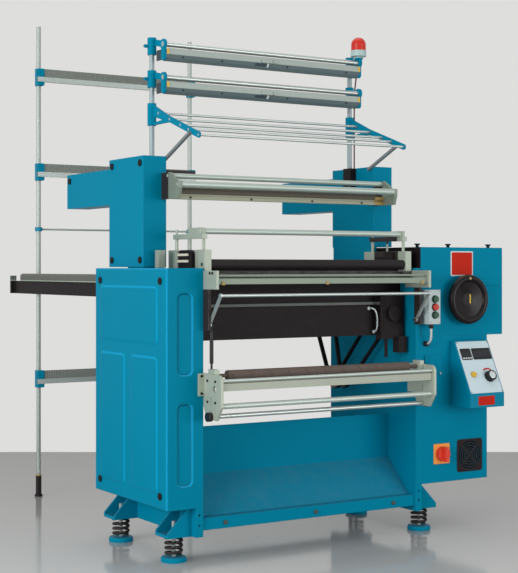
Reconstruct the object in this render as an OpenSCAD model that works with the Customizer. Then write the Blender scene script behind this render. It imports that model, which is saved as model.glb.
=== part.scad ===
// Crochet knitting machine on sprung feet, with a yarn rack behind it.
// X runs across the machine, -Y is the operator's side and the floor is at Z = 0.

/* [Side columns] */
// Width of the left column
col_w = 148; // [130:1:170]
// Depth of both side columns
col_d = 580; // [560:1:640]
// Height of both side columns
col_h = 850; // [800:1:900]
// Wall of the cast left column
col_wall = 10; // [8:0.5:14]
// Clear width between the two columns
bay_w = 959; // [900:1:1050]
// Thickness of the right side frame
side_t = 22; // [18:1:30]
// Height of the column feet above the floor
floor_gap = 194; // [180:1:220]
// Thickness of the left end cover
cover_t = 6; // [5:0.5:8]
// How far the pressed panels of the cover stand out
panel_rise = 3; // [1:0.5:3.5]
// Corner radius of the pressed panels
panel_r = 14; // [6:1:20]
// Distance of the cover screws from the column's edges
screw_inset = 46; // [40:1:60]
// Head diameter of the cover screws
screw_head_d = 26; // [20:0.5:28]

/* [Right housings] */
// Width of the electric cabinet
cab_w = 345; // [330:1:400]
// Wall of the electric cabinet
cab_wall = 3; // [2:0.5:4]
// Width of the gearbox housing
gear_w = 427; // [420:1:480]
// Height of the gearbox housing
gear_h = 353; // [340:1:380]
// Wall of the gearbox housing
gear_wall = 12; // [10:0.5:16]
// Height of the cabinet under the gearbox
cab_h = 580; // [560:1:600]
// Width of the inspection hatch
hatch_w = 82; // [70:1:90]
// Height of the inspection hatch
hatch_h = 144; // [120:1:160]
// Thickness of the inspection hatch
hatch_t = 3; // [2:0.5:4]
// Side of the square ventilation grille
grille_w = 131; // [110:1:140]
// Side of the main switch plate
switch_plate = 80; // [70:1:90]
// Diameter of the main switch knob
switch_knob_d = 58; // [48:1:64]
// Diameter of the handwheel
wheel_d = 198; // [180:1:210]
// Width of the handwheel rim
wheel_t = 36; // [30:1:44]

/* [Console] */
// Width of the control console
con_w = 175; // [165:1:185]
// Depth of the console at its top
con_top_d = 20; // [16:1:26]
// Depth of the console at its lip
con_lip_d = 120; // [110:1:130]
// Height of the sloping panel
con_slope_h = 208; // [190:1:220]
// Height of the console's lip
con_lip_h = 52; // [46:1:60]
// Sheet thickness of the console
con_wall = 3; // [2:0.5:4]
// Thickness of the front plate
con_plate_t = 2; // [1.5:0.5:3]
// Diameter of the speed knob
speed_knob_d = 46; // [36:1:50]
// Height of the speed knob
speed_knob_h = 22; // [16:1:26]
// Diameter of the yellow button
lamp_button_d = 22; // [18:1:26]

/* [Button box] */
// Width of the push-button box
box_w = 56; // [52:1:66]
// Depth of the push-button box
box_d = 45; // [40:1:52]
// Height of the push-button box
box_h = 134; // [126:1:150]
// Diameter of the push buttons
button_d = 24; // [20:0.5:26]
// Spacing of the push buttons
button_pitch = 31; // [29:1:36]
// Travel of the push buttons
button_travel = 4; // [3:0.5:5]

/* [Base] */
// Section of the base rails
rail_s = 42; // [36:1:50]
// Distance of the feet from the front and back of the columns
foot_in = 78; // [76:1:90]
// Size of the foot shelves along both axes
foot_w = 96; // [84:1:102]
// Diameter of the rubber foot pads
pad_d = 92; // [80:1:100]
// Height of the rubber foot pads
pad_h = 17; // [14:1:22]
// Mean diameter of the foot springs
spring_d = 58; // [50:1:62]
// Wire diameter of the foot springs
wire_d = 11; // [8:0.5:12]
// Diameter of the foot studs
stud_d = 14; // [12:1:18]
// Height of the bracket's lower plate above the floor
foot_z = 90; // [86:1:100]
// Thickness of the bracket plates
foot_t = 11; // [8:0.5:14]
// Sheet thickness of the fabric tray
tray_t = 2; // [1.5:0.5:3]

/* [Upper columns] */
// Width of the upper columns
up_w = 95; // [85:1:105]
// Depth of the upper columns
up_d = 288; // [270:1:300]
// Setback of the upper columns from the front
up_y = 279; // [270:1:288]
// Height of the upper columns' tops above the side columns
up_h = 416; // [400:1:440]
// Length of the rear arms
arm_l = 397; // [360:1:420]
// Height of the rear arms
arm_h = 138; // [120:1:150]
// Height of the rear arms' undersides above the side columns
arm_z = 243; // [230:1:255]
// Wall of the upper columns
up_wall = 6; // [5:0.5:8]

/* [Yarn racks] */
// Diameter of the front poles
pole_d = 19; // [16:0.5:21]
// Height of the front poles' tops above the side columns
pole_top = 871; // [850:1:900]
// Diameter of the rear poles
rear_pole_d = 20; // [17:0.5:22]
// Height of the rear poles
rear_pole_h = 2149; // [2100:1:2200]
// Distance of the rear poles behind the front
rear_y = 1611; // [1560:1:1640]
// Distance between the rear poles
rear_span = 790; // [760:1:800]
// Diameter of the stop-motion rods
stop_rod_d = 19; // [16:0.5:20]
// Reach of the stop-motion brackets in front of the poles
stop_reach = 77; // [70:1:84]
// Height of the two stop-motion rods above the side columns
stop_zs = [846, 721]; // [700:1:850]
// Height of the stop-motion channels
channel_h = 46; // [40:1:52]
// Depth of the stop-motion channels
channel_d = 34; // [28:1:40]
// Wall of the stop-motion channels
channel_wall = 3; // [2:0.5:4]
// Diameter of the yarn guide rods
guide_d = 10; // [8:0.5:12]
// Number of teeth in a rear comb
comb_teeth = 72; // [40:1:80]
// Height of the rear combs above their holders
comb_h = 38; // [30:1:44]
// Diameter of the beacon
beacon_d = 65; // [56:1:70]
// Height of the beacon dome
dome_h = 55; // [48:1:60]

/* [Knitting head] */
// Depth of the main beam
beam_d = 115; // [100:1:120]
// Setback of the main beam from the front
beam_y = 100; // [94:1:104]
// Height of the main beam
beam_h = 220; // [200:1:230]
// Height of the needle bed
bed_h = 32; // [28:1:36]
// Number of needles
needle_n = 72; // [48:1:80]
// Diameter of a needle
needle_d = 2.4; // [2:0.1:3]
// Length of a needle
needle_l = 44; // [36:1:48]
// Stroke of the needle bar
needle_stroke = 14; // [10:1:16]
// Diameter of the black feed roller
feed_d = 38; // [34:1:40]
// Diameter of the presser roller
press_d = 21; // [18:0.5:24]
// Lift of the presser roller
press_lift = 18; // [12:1:18]
// Diameter of the front weft roller
weft_d = 25; // [22:0.5:28]
// Diameter of the rear weft roller
weft_rear_d = 20; // [16:0.5:22]
// Diameter of the stop bar
stop_bar_d = 11; // [9:0.5:13]
// Diameter of the main shaft
shaft_d = 30; // [26:0.5:34]
// Diameter of the main shaft's pulley
pulley_d = 144; // [120:1:160]
// Diameter of both motor pulleys
motor_pulley_d = 72; // [60:1:80]
// Diameter of the head pulley
head_pulley_d = 90; // [80:1:96]

/* [Take-up] */
// Diameter of the take-up roller
take_d = 37; // [30:1:40]
// Diameter of the cloth bar
cloth_d = 19; // [16:0.5:22]
// Diameter of the tension bar
tension_d = 16.5; // [14:0.5:18]
// Diameter of the tension bar's knobs
knob_d = 33; // [28:1:36]
// Thickness of the take-up plates
take_t = 10; // [8:0.5:12]
// Reach of the take-up plates in front of the columns
take_reach = 125; // [122:1:134]

/* [Hidden] */
$fn = 40;
// Overrun of every cut
cut = 2;
// Radial running clearance of shafts and pins
run = 0.06;
// Gap kept between moving faces
gap = 0.4;

blue = [0.05, 0.47, 0.6];
black = [0.12, 0.11, 0.11];
steel = [0.75, 0.77, 0.78];
alloy = [0.68, 0.74, 0.7];
brass = [0.72, 0.6, 0.32];
rubber = [0.1, 0.1, 0.1];

col_top = floor_gap + col_h;
side_x = col_w + bay_w;
bay_mid = col_w + bay_w / 2;
house_x = side_x + side_t;
gear_z = floor_gap + cab_h;
gear_top = gear_z + gear_h;
cover_screw_yz = [for (y = [screw_inset, col_d - screw_inset],
                       z = [floor_gap + screw_inset, col_top - screw_inset]) [y, z]];
screw_t = 4;
shank_d = 8;
post_d = 30;
up_x = col_w - up_w;
up_top = col_top + up_h;
up_base_h = 4;
up_screw_in = 26;
up_rear_y = up_y + up_d;
arm_end_y = up_rear_y + arm_l;
arm_z0 = col_top + arm_z;

// Drive line
shaft_y = 515;
shaft_drop = 125;
shaft_z = col_top - shaft_drop;
wheel_in = 218;
wheel_x = house_x + wheel_in;
wheel_gap = 16;
wheel_shaft_d = 24;
bevel_r = 46;
bevel_share = 0.97;
bevel_face_share = 0.5;
pulley_in = 108;
pulley_x = side_x - pulley_in;
pulley_t = 18;
belt_t = 7;
belt_pitch = 42;
motor_forward = 110;
motor_drop = 329;
motor_y = shaft_y - motor_forward;
motor_z = shaft_z - motor_drop;
motor_shaft_d = 22;
motor_d = 160;
motor_l = 230;
head_pulley_y = 165;
head_pulley_drop = 214;
head_pulley_z = col_top - head_pulley_drop;
head_axle_d = 16;
head_pocket_side = 8;
eccentric_d = 72;
eccentric_t = 26;
eccentric_shares = [0.17, 0.5, 0.83];

// Knitting head, from the top of the side columns downwards
bed_drop = 12;
bed_top = col_top - bed_drop;
beam_top = bed_top - bed_h;
bed_in = 12;
bed_x0 = col_w + bed_in;
bed_x1 = side_x - bed_in;
bed_d = 228;
ledge_h = 8;
ledge_d = 62;
stand_w = 28;
stand_in = 1;
stand_x = bed_x0 + stand_in;
// Front and back of the front pillar, then of the rear one
pillar_front = [13, 61];
pillar_rear = [217, 285];
pillar_rise = 66;
pillar_top = col_top + pillar_rise;
pin_ys = [46, 246];
pin_low_d = 12;
pin_d = 8;
lift_rod_y = 149;
cross_rise = 106;
cross_z = col_top + cross_rise;
cross_h = 18;
cross_w = 20;
cross_x = stand_x + (stand_w - cross_w) / 2;
clamp_h = 22;
clamp_l = 96;
press_y = 60;
press_rise = 133;
press_z = col_top + press_rise;
press_journal_d = 10;
feed_y = 34;
feed_rise = 13;
feed_z = col_top + feed_rise;
feed_journal_d = 14;
needle_bar_w = 20;
needle_bar_h = 22;
needle_bar_y = ledge_d - needle_bar_w - needle_stroke;
needle_bar_z = beam_top + ledge_h + gap;
needle_z = needle_bar_z + needle_bar_h - needle_d;
hook_h = 5;
hook_share = 0.8;
rail_y = -75;
rail_rod_d = 8;
rail_rod_drop = 27;
rail_rod_z = col_top - rail_rod_drop;
rail_bar = [10, 20];
rail_bar_drop = 57;
rail_bar_z = col_top - rail_bar_drop;
rail_plate_t = 10;
stop_pivot_y = -19;
stop_pivot_drop = 202;
stop_pivot = [stop_pivot_y, col_top - stop_pivot_drop];
stop_tip_y = -98;
stop_tip_drop = 97;
stop_tip = [stop_tip_y, col_top - stop_tip_drop];
stop_pin_d = 10;
stop_arm_w = 16;
stop_arm_t = 8;

// Weft feed on the front of the upper columns
weft_plate_t = 14;
weft_edge_share = 0.48;
weft_y = 155;
weft_rise = 306;
weft_z = col_top + weft_rise;
weft_rear_y = 232;
weft_rear_rise = 341;
weft_rear_z = col_top + weft_rear_rise;
weft_journal_d = 12;
weft_in = 20;
weft_x0 = col_w - weft_in;
weft_rail = [24, 33];
weft_rail_y = 213;
weft_rail_rise = 255;
weft_rail_z = col_top + weft_rail_rise;
weft_arm = [129, 14, 22];
weft_arm_y = 286;
weft_arm_rise = 344;

// Take-up
take_y = -40;
take_drop = 381;
take_z = col_top - take_drop;
take_journal_d = 14;
take_over = 8;
take_top = take_z + take_over;
take_bottom_drop = 534;
take_bottom = col_top - take_bottom_drop;
take_round = 24;
take_bore_d = 24;
take_bore_in = 46;
take_bore_drop = 51;
take_block = [20, 44, 46];
take_inset = 74;
take_rod_d = 12;
take_rod_y = -110;
take_rod_drop = 394;
take_rod = [take_rod_y, col_top - take_rod_drop];
take_flat = [6, 26];
take_flat_gap = 4;
take_flat_z = take_rod[1] - take_rod_d / 2 - take_flat[1] - take_flat_gap;
cloth_y = -106;
cloth_drop = 483;
cloth_bar = [cloth_y, col_top - cloth_drop];
tension_y = -55;
tension_drop = 523;
tension = [tension_y, col_top - tension_drop];
knob_t = 16;

// Racks
pole_off = 15;
pole_x = col_w + pole_off;
pole_y = up_y + up_d / 2;
pole_block = [30, 50, 75];
pole_seat = 85;
pole_z0 = up_top - pole_seat;
ring_d = 34;
ring_h = 65;
stop_y = pole_y - stop_reach;
stop_arm = 10;
set_knob_d = 13;
set_knob_l = 16;
comb_holder = [22, 22];
comb_t = 4;
comb_fill_share = 0.82;
channel_gap = 6;
channel_drop = stop_rod_d / 2 + channel_gap + channel_h;
channel_front_share = 0.5;
channel_slope_share = 0.8;
channel_under_share = 0.3;
guide_shares = [0, 0.29, 0.56, 0.76, 1];
guide_y0 = 366;
guide_y1 = 58;
guide_rise0 = 586;
guide_rise1 = 479;
guide_z0 = col_top + guide_rise0;
guide_z1 = col_top + guide_rise1;
rack_t = 6;
rack_w = 22;
rack_h = 85;
// Corners of the bracket's window, from the pole's axis at the height of the first rod
rack_window = [[-21, -10], [-21, -33], [-88, -28]];
strut_w = 10;
strut_back = 26;
strut_drop = 12;
strut_low = [up_y + strut_back, up_top - strut_drop];
strut_share = 0.84;
beacon_base_h = 24;
beacon_neck = [26, 6];
rear_shift = 35;
rear_x0 = bay_mid - rear_span / 2 - rear_shift;
rear_x1 = rear_x0 + rear_span;
rear_ring_h = 78;
rear_bar_shares = [0.8916, 0.6901, 0.2504];
rear_rod_share = 0.5686;
rear_rod_z = rear_pole_h * rear_rod_share;
rear_rod_d = 9;
sleeve_d = 26;
sleeve_h = 101;
sleeve_foot = [36, 10];
tie_t = 12;
tie_h = 58;
tie_drop = 117;
tie_z = col_top - tie_drop;
tie_grip = 40;
tie_y0 = col_d - tie_grip;
tie_past = 189;
tie_y1 = rear_y + tie_past;
tie_rail = [28, 34];
tie_rail_past = 80;
tie_rail_y1 = rear_y + tie_rail_past;
tie_bar = [25, 40];
tie_cap_t = 14;
tie_cap_rise = 24;

// Hatch, switch and grille on the cabinet's front
hatch_in = 24;
hatch_x = house_x + hatch_in;
hatch_drop = 219;
hatch_z = gear_z - hatch_drop;
hinge_d = 8;
hinge_pin_d = 4;
hinge_off = 1;
hinge_y = -hinge_d / 2 - hinge_off;
hinge_n = 3;
hatch_rim = 6;
lock_d = 10;
switch_in = 106;
switch_rise = 113;
switch_x = house_x + switch_in;
switch_z = floor_gap + switch_rise;
switch_t = 4;
switch_shaft_d = 10;
switch_knob_h = 34;
switch_grip_share = 0.28;
grille_in = 186;
grille_rise = 32;
grille_x = house_x + grille_in;
grille_z = floor_gap + grille_rise;
grille_n = 5;
grille_slot_share = 0.55;
grille_bar = 9;
grille_round = 12;
plug_d = 22;
plug_h = 15;
plug_stem_share = 0.6;
plug_x_shares = [0.05, 0.42, 0.92];
plug_y = 60;
seam = 2;
seam_z_share = 0.56;

// Console
con_in = 154;
con_drop = 20;
con_x = house_x + con_in;
con_z = gear_z - con_drop - con_slope_h - con_lip_h;
con_slope = atan((con_lip_d - con_top_d) / con_slope_h);
con_panel_h = norm([con_lip_d - con_top_d, con_slope_h]);
con_margin = 5;
knob_shares = [0.7, 0.31];
lamp_shares = [0.25, 0.36];
lamp_h = 9;
knob_shaft_d = 8;
knob_shaft_l = 12;

// Push buttons
box_over = 4;
box_drop = 219;
box_x = house_x - box_over;
box_z = col_top - box_drop;
box_stand = 15;
button_out = 8;
button_l = 24;
bezel_d = 30;
bezel_t = 3;
button_zs = [for (i = [-1, 0, 1]) box_z + box_h / 2 - i * button_pitch];
cable_d = 9;
cable_bend = 32;
cable_drop = 28;
cable_z = gear_z - cable_drop;

// Feet
nut_d = 26;
nut_h = 10;
stud_over = 42;
side_rail_w = 30;
foot_past = 77;
foot_xs = [col_w - foot_past, side_x + foot_past];
foot_ys = [foot_in, col_d - foot_in];
gusset_t = 8;
gusset_shares = [0.86, 0.17];
strip_hole_shares = [0.4, 0.75];
spring_turns = 3.5;
spring_steps = 18;
wire_sides = 6;
rail_wall = 4;
rail_front_y = 10;
bolt_d = 16;
bolt_t = 6;
bolt_shares = [0.1, 0.51, 0.89];
tray_y = 180;
tray_fold_drop = 760;
tray_drop = 585;
tray_lip = 35;
tray_fold_z = col_top - tray_fold_drop;
tray_top = col_top - tray_drop;
tray_low_y = rail_front_y + tray_lip;

// The origin lies under the middle of the whole machine
origin_x = (house_x + gear_w - screw_t) / 2;
origin_y = (tie_y1 - take_reach) / 2;

module place() translate([-origin_x, -origin_y, 0]) children();

module block(corner, size) translate(corner) cube(size);

module rod_x(x0, x1, yz, d) translate([x0, yz[0], yz[1]]) rotate([0, 90, 0]) cylinder(d = d, h = x1 - x0);

module rod_y(y0, y1, xz, d) translate([xz[0], y0, xz[1]]) rotate([-90, 0, 0]) cylinder(d = d, h = y1 - y0);

module rod_z(z0, z1, xy, d) translate([xy[0], xy[1], z0]) cylinder(d = d, h = z1 - z0);

// A flat outline in Y and Z, thickened along X
module plate_yz(x0, t) translate([x0, 0, 0]) rotate([90, 0, 90]) linear_extrude(t) children();

module round_rect(w, h, r) {
    translate([r, 0]) square([w - 2 * r, h]);
    translate([0, r]) square([w, h - 2 * r]);
    for (x = [r, w - r], y = [r, h - r]) translate([x, y]) circle(r);
}

// A piece of the left side and its mirror image on the right
module other_side() translate([2 * bay_mid, 0, 0]) mirror([1, 0, 0]) children();

module both_sides() {
    children();
    other_side() children();
}

// A straight bar between two points of one plane across X
module link_yz(x0, t, from, to, w) {
    run_l = norm(to - from);
    angle = atan2(to[1] - from[1], to[0] - from[0]);
    plate_yz(x0, t) translate(from) rotate(angle) translate([0, -w / 2]) square([run_l, w]);
}

module left_column() color(blue) place() difference() {
    block([cover_t, 0, floor_gap], [col_w - cover_t, col_d, col_h]);
    difference() {
        block([cover_t - cut, col_wall, floor_gap + col_wall],
              [col_w - cover_t - col_wall + cut, col_d - 2 * col_wall, col_h - 2 * col_wall]);
        for (p = cover_screw_yz) rod_x(cover_t - cut, col_w, p, post_d);
    }
    for (p = cover_screw_yz) rod_x(cover_t - cut, col_w - 2 * col_wall, p, shank_d);
    front_recesses();
    rod_x(col_w - col_wall - cut, col_w + cut, [shaft_y, shaft_z], shaft_d + 2 * run);
}

recess_w_share = 0.45;
recess_x_share = 0.28;
recess_h_share = 0.35;
recess_z_shares = [0.09, 0.55];
recess_depth = 5;

module front_recesses() {
    for (s = recess_z_shares)
        translate([col_w * recess_x_share, recess_depth, floor_gap + col_h * s])
            rotate([90, 0, 0])
                linear_extrude(recess_depth + cut)
                    round_rect(col_w * recess_w_share, col_h * recess_h_share, recess_depth);
}

// Each panel: place along the depth and height, then its size, all as shares of the cover
panel_shares = [
    [0.12, 0.685, 0.795, 0.235],
    [0.12, 0.066, 0.35, 0.559],
    [0.565, 0.066, 0.35, 0.559]
];

module quarter_disc(r) intersection() {
    circle(r);
    square([r, r]);
}

// Outline of the cover across one of its lengths, rounded at both outer edges
module soft_edges(length) {
    translate([0, cover_t]) square([cover_t, length - 2 * cover_t]);
    translate([cover_t, cover_t]) rotate(180) quarter_disc(cover_t);
    translate([cover_t, length - cover_t]) rotate(90) quarter_disc(cover_t);
}

module soft_plate() intersection() {
    translate([0, 0, floor_gap]) linear_extrude(col_h) soft_edges(col_d);
    translate([0, col_d, floor_gap]) rotate([90, 0, 0]) linear_extrude(col_d) soft_edges(col_h);
}

module left_end_cover() color(blue) place() difference() {
    union() {
        soft_plate();
        for (s = panel_shares)
            plate_yz(-panel_rise, panel_rise + cover_t / 2)
                translate([col_d * s[0], floor_gap + col_h * s[1]])
                    round_rect(col_d * s[2], col_h * s[3], panel_r);
    }
    for (p = cover_screw_yz) {
        rod_x(-cut, cover_t + cut, p, shank_d);
        rod_x(-panel_rise - cut, 0, p, screw_head_d + 2 * gap);
    }
}

module right_side_frame() color(blue) place() difference() {
    block([side_x, 0, floor_gap], [side_t, col_d, col_h]);
    rod_x(side_x - cut, house_x + cut, [shaft_y, shaft_z], shaft_d + 2 * run);
    rod_x(side_x - cut, house_x + cut, [motor_y, motor_z], motor_shaft_d * 2);
}

module electric_cabinet() color(blue) place() {
    difference() {
        block([house_x, 0, floor_gap], [cab_w, col_d, cab_h]);
        block([house_x + cab_wall, cab_wall, floor_gap + cab_wall],
              [cab_w - 2 * cab_wall, col_d - 2 * cab_wall, cab_h - 2 * cab_wall]);
        block([hatch_x + hatch_rim, -cut, hatch_z + hatch_rim],
              [hatch_w - 2 * hatch_rim, cab_wall + 2 * cut, hatch_h - 2 * hatch_rim]);
        grille_slots();
        rod_y(-cut, cab_wall + cut, [switch_x, switch_z], switch_shaft_d + 2 * run);
        rod_x(house_x - cut, house_x + cab_wall + cut, [motor_y, motor_z], motor_shaft_d * 2);
        rod_y(-cut, cab_wall + cut, [cable_x, cable_z], cable_d);
    }
    hatch_hinge_pin();
    switch_plate_body();
    grille_frame();
}

// Round slots of the fan guard with four bridges
module grille_rings() difference() {
    pitch = grille_w / 2 / (grille_n + 1);
    slot = pitch * grille_slot_share;
    for (i = [1 : grille_n]) difference() {
        circle(pitch * i + slot / 2);
        circle(pitch * i - slot / 2);
    }
    for (a = [45, 135]) rotate(a) square([2 * grille_w, grille_bar], center = true);
}

module grille_slots()
    translate([grille_x + grille_w / 2, cab_wall + cut, grille_z + grille_w / 2])
        rotate([90, 0, 0])
            linear_extrude(cab_wall + 2 * cut) grille_rings();

grille_frame_t = 3;

// Raised fan guard over the round slots
module grille_frame()
    translate([grille_x, 0, grille_z])
        rotate([90, 0, 0])
            linear_extrude(grille_frame_t)
                difference() {
                    round_rect(grille_w, grille_w, grille_round);
                    translate([grille_w / 2, grille_w / 2]) grille_rings();
                }

module switch_plate_body() difference() {
    translate([switch_x - switch_plate / 2, 0, switch_z - switch_plate / 2])
        rotate([90, 0, 0])
            linear_extrude(switch_t)
                round_rect(switch_plate, switch_plate, switch_t);
    rod_y(-switch_t - cut, cut, [switch_x, switch_z], switch_shaft_d + 2 * run);
}

knuckle_h = hatch_h / (2 * hinge_n - 1);

// Fixed knuckles at odd places carry the pin, the hatch's knuckles turn on it
module hatch_hinge_pin() {
    for (i = [0 : hinge_n - 2]) {
        z = hatch_z + (2 * i + 1) * knuckle_h;
        rod_z(z + gap, z + knuckle_h - gap, [hatch_x, hinge_y], hinge_d);
        block([hatch_x - hinge_d / 2, hinge_y, z + gap], [hinge_d / 2, -hinge_y, knuckle_h - 2 * gap]);
    }
    rod_z(hatch_z, hatch_z + hatch_h, [hatch_x, hinge_y], hinge_pin_d);
}

module cabinet_hatch() color(blue) place() difference() {
    union() {
        block([hatch_x + hinge_d, -hatch_t - gap, hatch_z], [hatch_w - hinge_d, hatch_t, hatch_h]);
        for (i = [0 : hinge_n - 1]) {
            z = hatch_z + 2 * i * knuckle_h;
            rod_z(z, z + knuckle_h, [hatch_x, hinge_y], hinge_d);
            block([hatch_x, hinge_y - hinge_d / 2 + hinge_pin_d / 4, z],
                  [hinge_d + cut, hatch_t / 2, knuckle_h]);
            block([hatch_x + hinge_d, hinge_y - hinge_d / 2 + hinge_pin_d / 4, z],
                  [hatch_t, hinge_d / 2 + hatch_t / 2, knuckle_h]);
        }
        rod_y(-hatch_t - lock_d / 2, -hatch_t, [hatch_x + hatch_w - lock_d, hatch_z + hatch_h / 2], lock_d);
    }
    rod_z(hatch_z - cut, hatch_z + hatch_h + cut, [hatch_x, hinge_y], hinge_pin_d + 2 * run);
}

module gearbox_housing() color(blue) place() {
    difference() {
        block([house_x, 0, gear_z], [gear_w, col_d, gear_h]);
        block([house_x + gear_wall, gear_wall, gear_z + gear_wall],
              [gear_w - 2 * gear_wall, col_d - 2 * gear_wall, gear_h - 2 * gear_wall]);
        rod_x(house_x - cut, house_x + gear_wall + cut, [shaft_y, shaft_z], shaft_d + 2 * run);
        rod_y(-cut, gear_wall + cut, [wheel_x, shaft_z], wheel_shaft_d + 2 * run);
        block([wheel_x, -cut, gear_z + gear_h * seam_z_share], [gear_w, cut + seam, seam]);
    }
    for (s = plug_x_shares) {
        c = [house_x + gear_w * s + plug_d / 2, plug_y];
        rod_z(gear_top, gear_top + plug_h, c, plug_d * plug_stem_share);
        rod_z(gear_top + plug_h * plug_stem_share, gear_top + plug_h, c, plug_d);
    }
}

// Rails under both sides with a shelf for each foot, and cross rails between them
module base_frame() color(blue) place() {
    both_sides() {
        side_rail();
        for (y = foot_ys) foot_bracket([foot_xs[0], y]);
    }
    for (y = [rail_front_y, col_d - rail_front_y - rail_s]) base_rail(y);
}

// Pressed rail, open below, with two holes in its front end
module side_rail() difference() {
    h = floor_gap - foot_z;
    x0 = col_w - side_rail_w;
    block([x0, 0, foot_z], [side_rail_w, col_d, h]);
    block([x0 + rail_wall, rail_wall, foot_z - cut],
          [side_rail_w - 2 * rail_wall, col_d - 2 * rail_wall, h - rail_wall + cut]);
    for (s = strip_hole_shares) rod_y(-cut, rail_wall + cut, [x0 + side_rail_w / 2, foot_z + h * s], shank_d);
}

module base_rail(y) {
    z = foot_z + foot_t + rail_front_y;
    difference() {
        block([col_w, y, z], [bay_w, rail_s, rail_s]);
        block([col_w - cut, y + rail_wall, z + rail_wall],
              [bay_w + 2 * cut, rail_s - 2 * rail_wall, rail_s - 2 * rail_wall]);
    }
}

// Shelf beside a side rail, held up by two sloping cheeks
module foot_bracket(c) difference() {
    x0 = col_w - side_rail_w - foot_w;
    union() {
        block([x0, c[1] - foot_w / 2, foot_z], [foot_w, foot_w, foot_t]);
        for (y = [c[1] - foot_w / 2 + gusset_t, c[1] + foot_w / 2]) gusset(x0, y);
    }
    rod_z(foot_z - cut, foot_z + foot_t + cut, c, stud_d + 2 * run);
}

module gusset(x0, y) {
    h = floor_gap - foot_z;
    translate([x0, y, foot_z])
        rotate([90, 0, 0])
            linear_extrude(gusset_t)
                polygon([[0, 0], [foot_w, 0], [foot_w, h],
                         [foot_w * gusset_shares[0], h], [0, h * gusset_shares[1]]]);
}

// One sheet folded twice: a back wall, a slope and a lip on the front rail
module tray_panel() color(blue) place() {
    lip_z = foot_z + foot_t + rail_front_y + rail_s;
    skew = tray_t / cos(atan2(tray_fold_z - lip_z, tray_y - tray_low_y));
    plate_yz(col_w, bay_w)
        polygon([[tray_y, tray_top], [tray_y, tray_fold_z], [tray_low_y, lip_z + skew],
                 [tray_low_y, lip_z + tray_t], [rail_front_y, lip_z + tray_t], [rail_front_y, lip_z],
                 [tray_low_y + tray_t, lip_z],
                 [tray_y + tray_t, tray_fold_z - skew + tray_t], [tray_y + tray_t, tray_top]]);
}

spring_z0 = pad_h + wire_d / 2;
spring_rise = foot_z - pad_h - wire_d;
spring_segments = spring_turns * spring_steps;

function coil_point(i, j) =
    let (a = 360 * i / spring_steps, b = 360 * j / wire_sides, r = spring_d / 2 + wire_d / 2 * cos(b))
    [r * cos(a), r * sin(a), spring_z0 + spring_rise * i / spring_segments + wire_d / 2 * sin(b)];

module spring() polyhedron(
    points = [for (i = [0 : spring_segments], j = [0 : wire_sides - 1]) coil_point(i, j)],
    faces = concat(
        [for (i = [0 : spring_segments - 1], j = [0 : wire_sides - 1])
            let (k = (j + 1) % wire_sides, a = i * wire_sides, b = (i + 1) * wire_sides)
            [a + j, a + k, b + k, b + j]],
        [[for (j = [wire_sides - 1 : -1 : 0]) j]],
        [[for (j = [0 : wire_sides - 1]) spring_segments * wire_sides + j]]));

module foot_springs() color(steel) place()
    for (x = foot_xs, y = foot_ys) translate([x, y, 0]) spring();

module foot_pads() color(blue) place()
    for (x = foot_xs, y = foot_ys) translate([x, y, 0]) {
        rotate_extrude() pad_outline();
        cylinder(d = stud_d, h = foot_z + foot_t + stud_over);
        translate([0, 0, foot_z + foot_t]) cylinder(d = nut_d, h = nut_h, $fn = 6);
    }

pad_round = 6;

module pad_outline() {
    square([pad_d / 2 - pad_round, pad_h]);
    square([pad_d / 2, pad_h - pad_round]);
    translate([pad_d / 2 - pad_round, pad_h - pad_round]) circle(pad_round);
}

// A hollow column with a rear arm, standing on a narrower base
module upper_column(z0, base_x, base_d) {
    difference() {
        union() {
            block([up_x, up_y, z0], [up_w, up_d, up_top - z0]);
            block([up_x, up_rear_y - cut, arm_z0], [up_w, arm_l + cut, arm_h]);
            block([base_x, up_y + up_wall, col_top], [col_w - base_x, base_d, z0 - col_top]);
        }
        block([up_x + up_wall, up_y + up_wall, z0 + up_wall],
              [up_w - 2 * up_wall, up_d - 2 * up_wall, up_top - z0 - 2 * up_wall]);
        block([up_x + up_wall, up_rear_y - 2 * up_wall, arm_z0 + up_wall],
              [up_w - 2 * up_wall, arm_l + up_wall, arm_h - 2 * up_wall]);
        block([col_w - side_t + up_wall, up_y + up_base_in, col_top - cut],
              [side_t - 2 * up_wall, up_base_in, z0 + up_wall + 2 * cut - col_top]);
    }
}

up_base_in = 40;
up_base_d = 134;

module left_upper_column() color(blue) place()
    upper_column(col_top + up_base_h, up_x + up_wall, up_base_d);

module right_upper_column() color(blue) place()
    other_side() upper_column(gear_top + up_base_h, col_w - side_t, up_d - 2 * up_wall);

// Screw places on the outer face of an upper column that starts at height z0
function up_screw_yz(z0) = concat(
    [for (y = [up_y + up_screw_in, up_rear_y - up_screw_in],
          z = [z0 + up_screw_in, up_top - up_screw_in]) [y, z]],
    [[arm_end_y - up_screw_in, arm_z0 + arm_h - up_screw_in]]);

module up_screws(z0) for (p = up_screw_yz(z0)) rod_x(up_x - screw_t, up_x, p, screw_head_d);

module cover_screws() color(black) place() {
    for (p = cover_screw_yz) {
        rod_x(-screw_t, 0, p, screw_head_d);
        rod_x(-screw_t, col_w - 2 * col_wall, p, shank_d);
    }
    up_screws(col_top + up_base_h);
    other_side() up_screws(gear_top + up_base_h);
    both_sides() plate_screws();
    for (s = bolt_shares)
        rod_y(rail_front_y - bolt_t, rail_front_y,
              [col_w + bay_w * s, foot_z + foot_t + rail_front_y + rail_s / 2], bolt_d, $fn = 6);
}

plate_screw_d = 9;
plate_screw_t = 3;
take_screw_zs = [take_top - take_round, take_bottom + take_reach / 2];
take_screw_ys = [take_y + plate_screw_d, take_rod_y + take_round];

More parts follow.
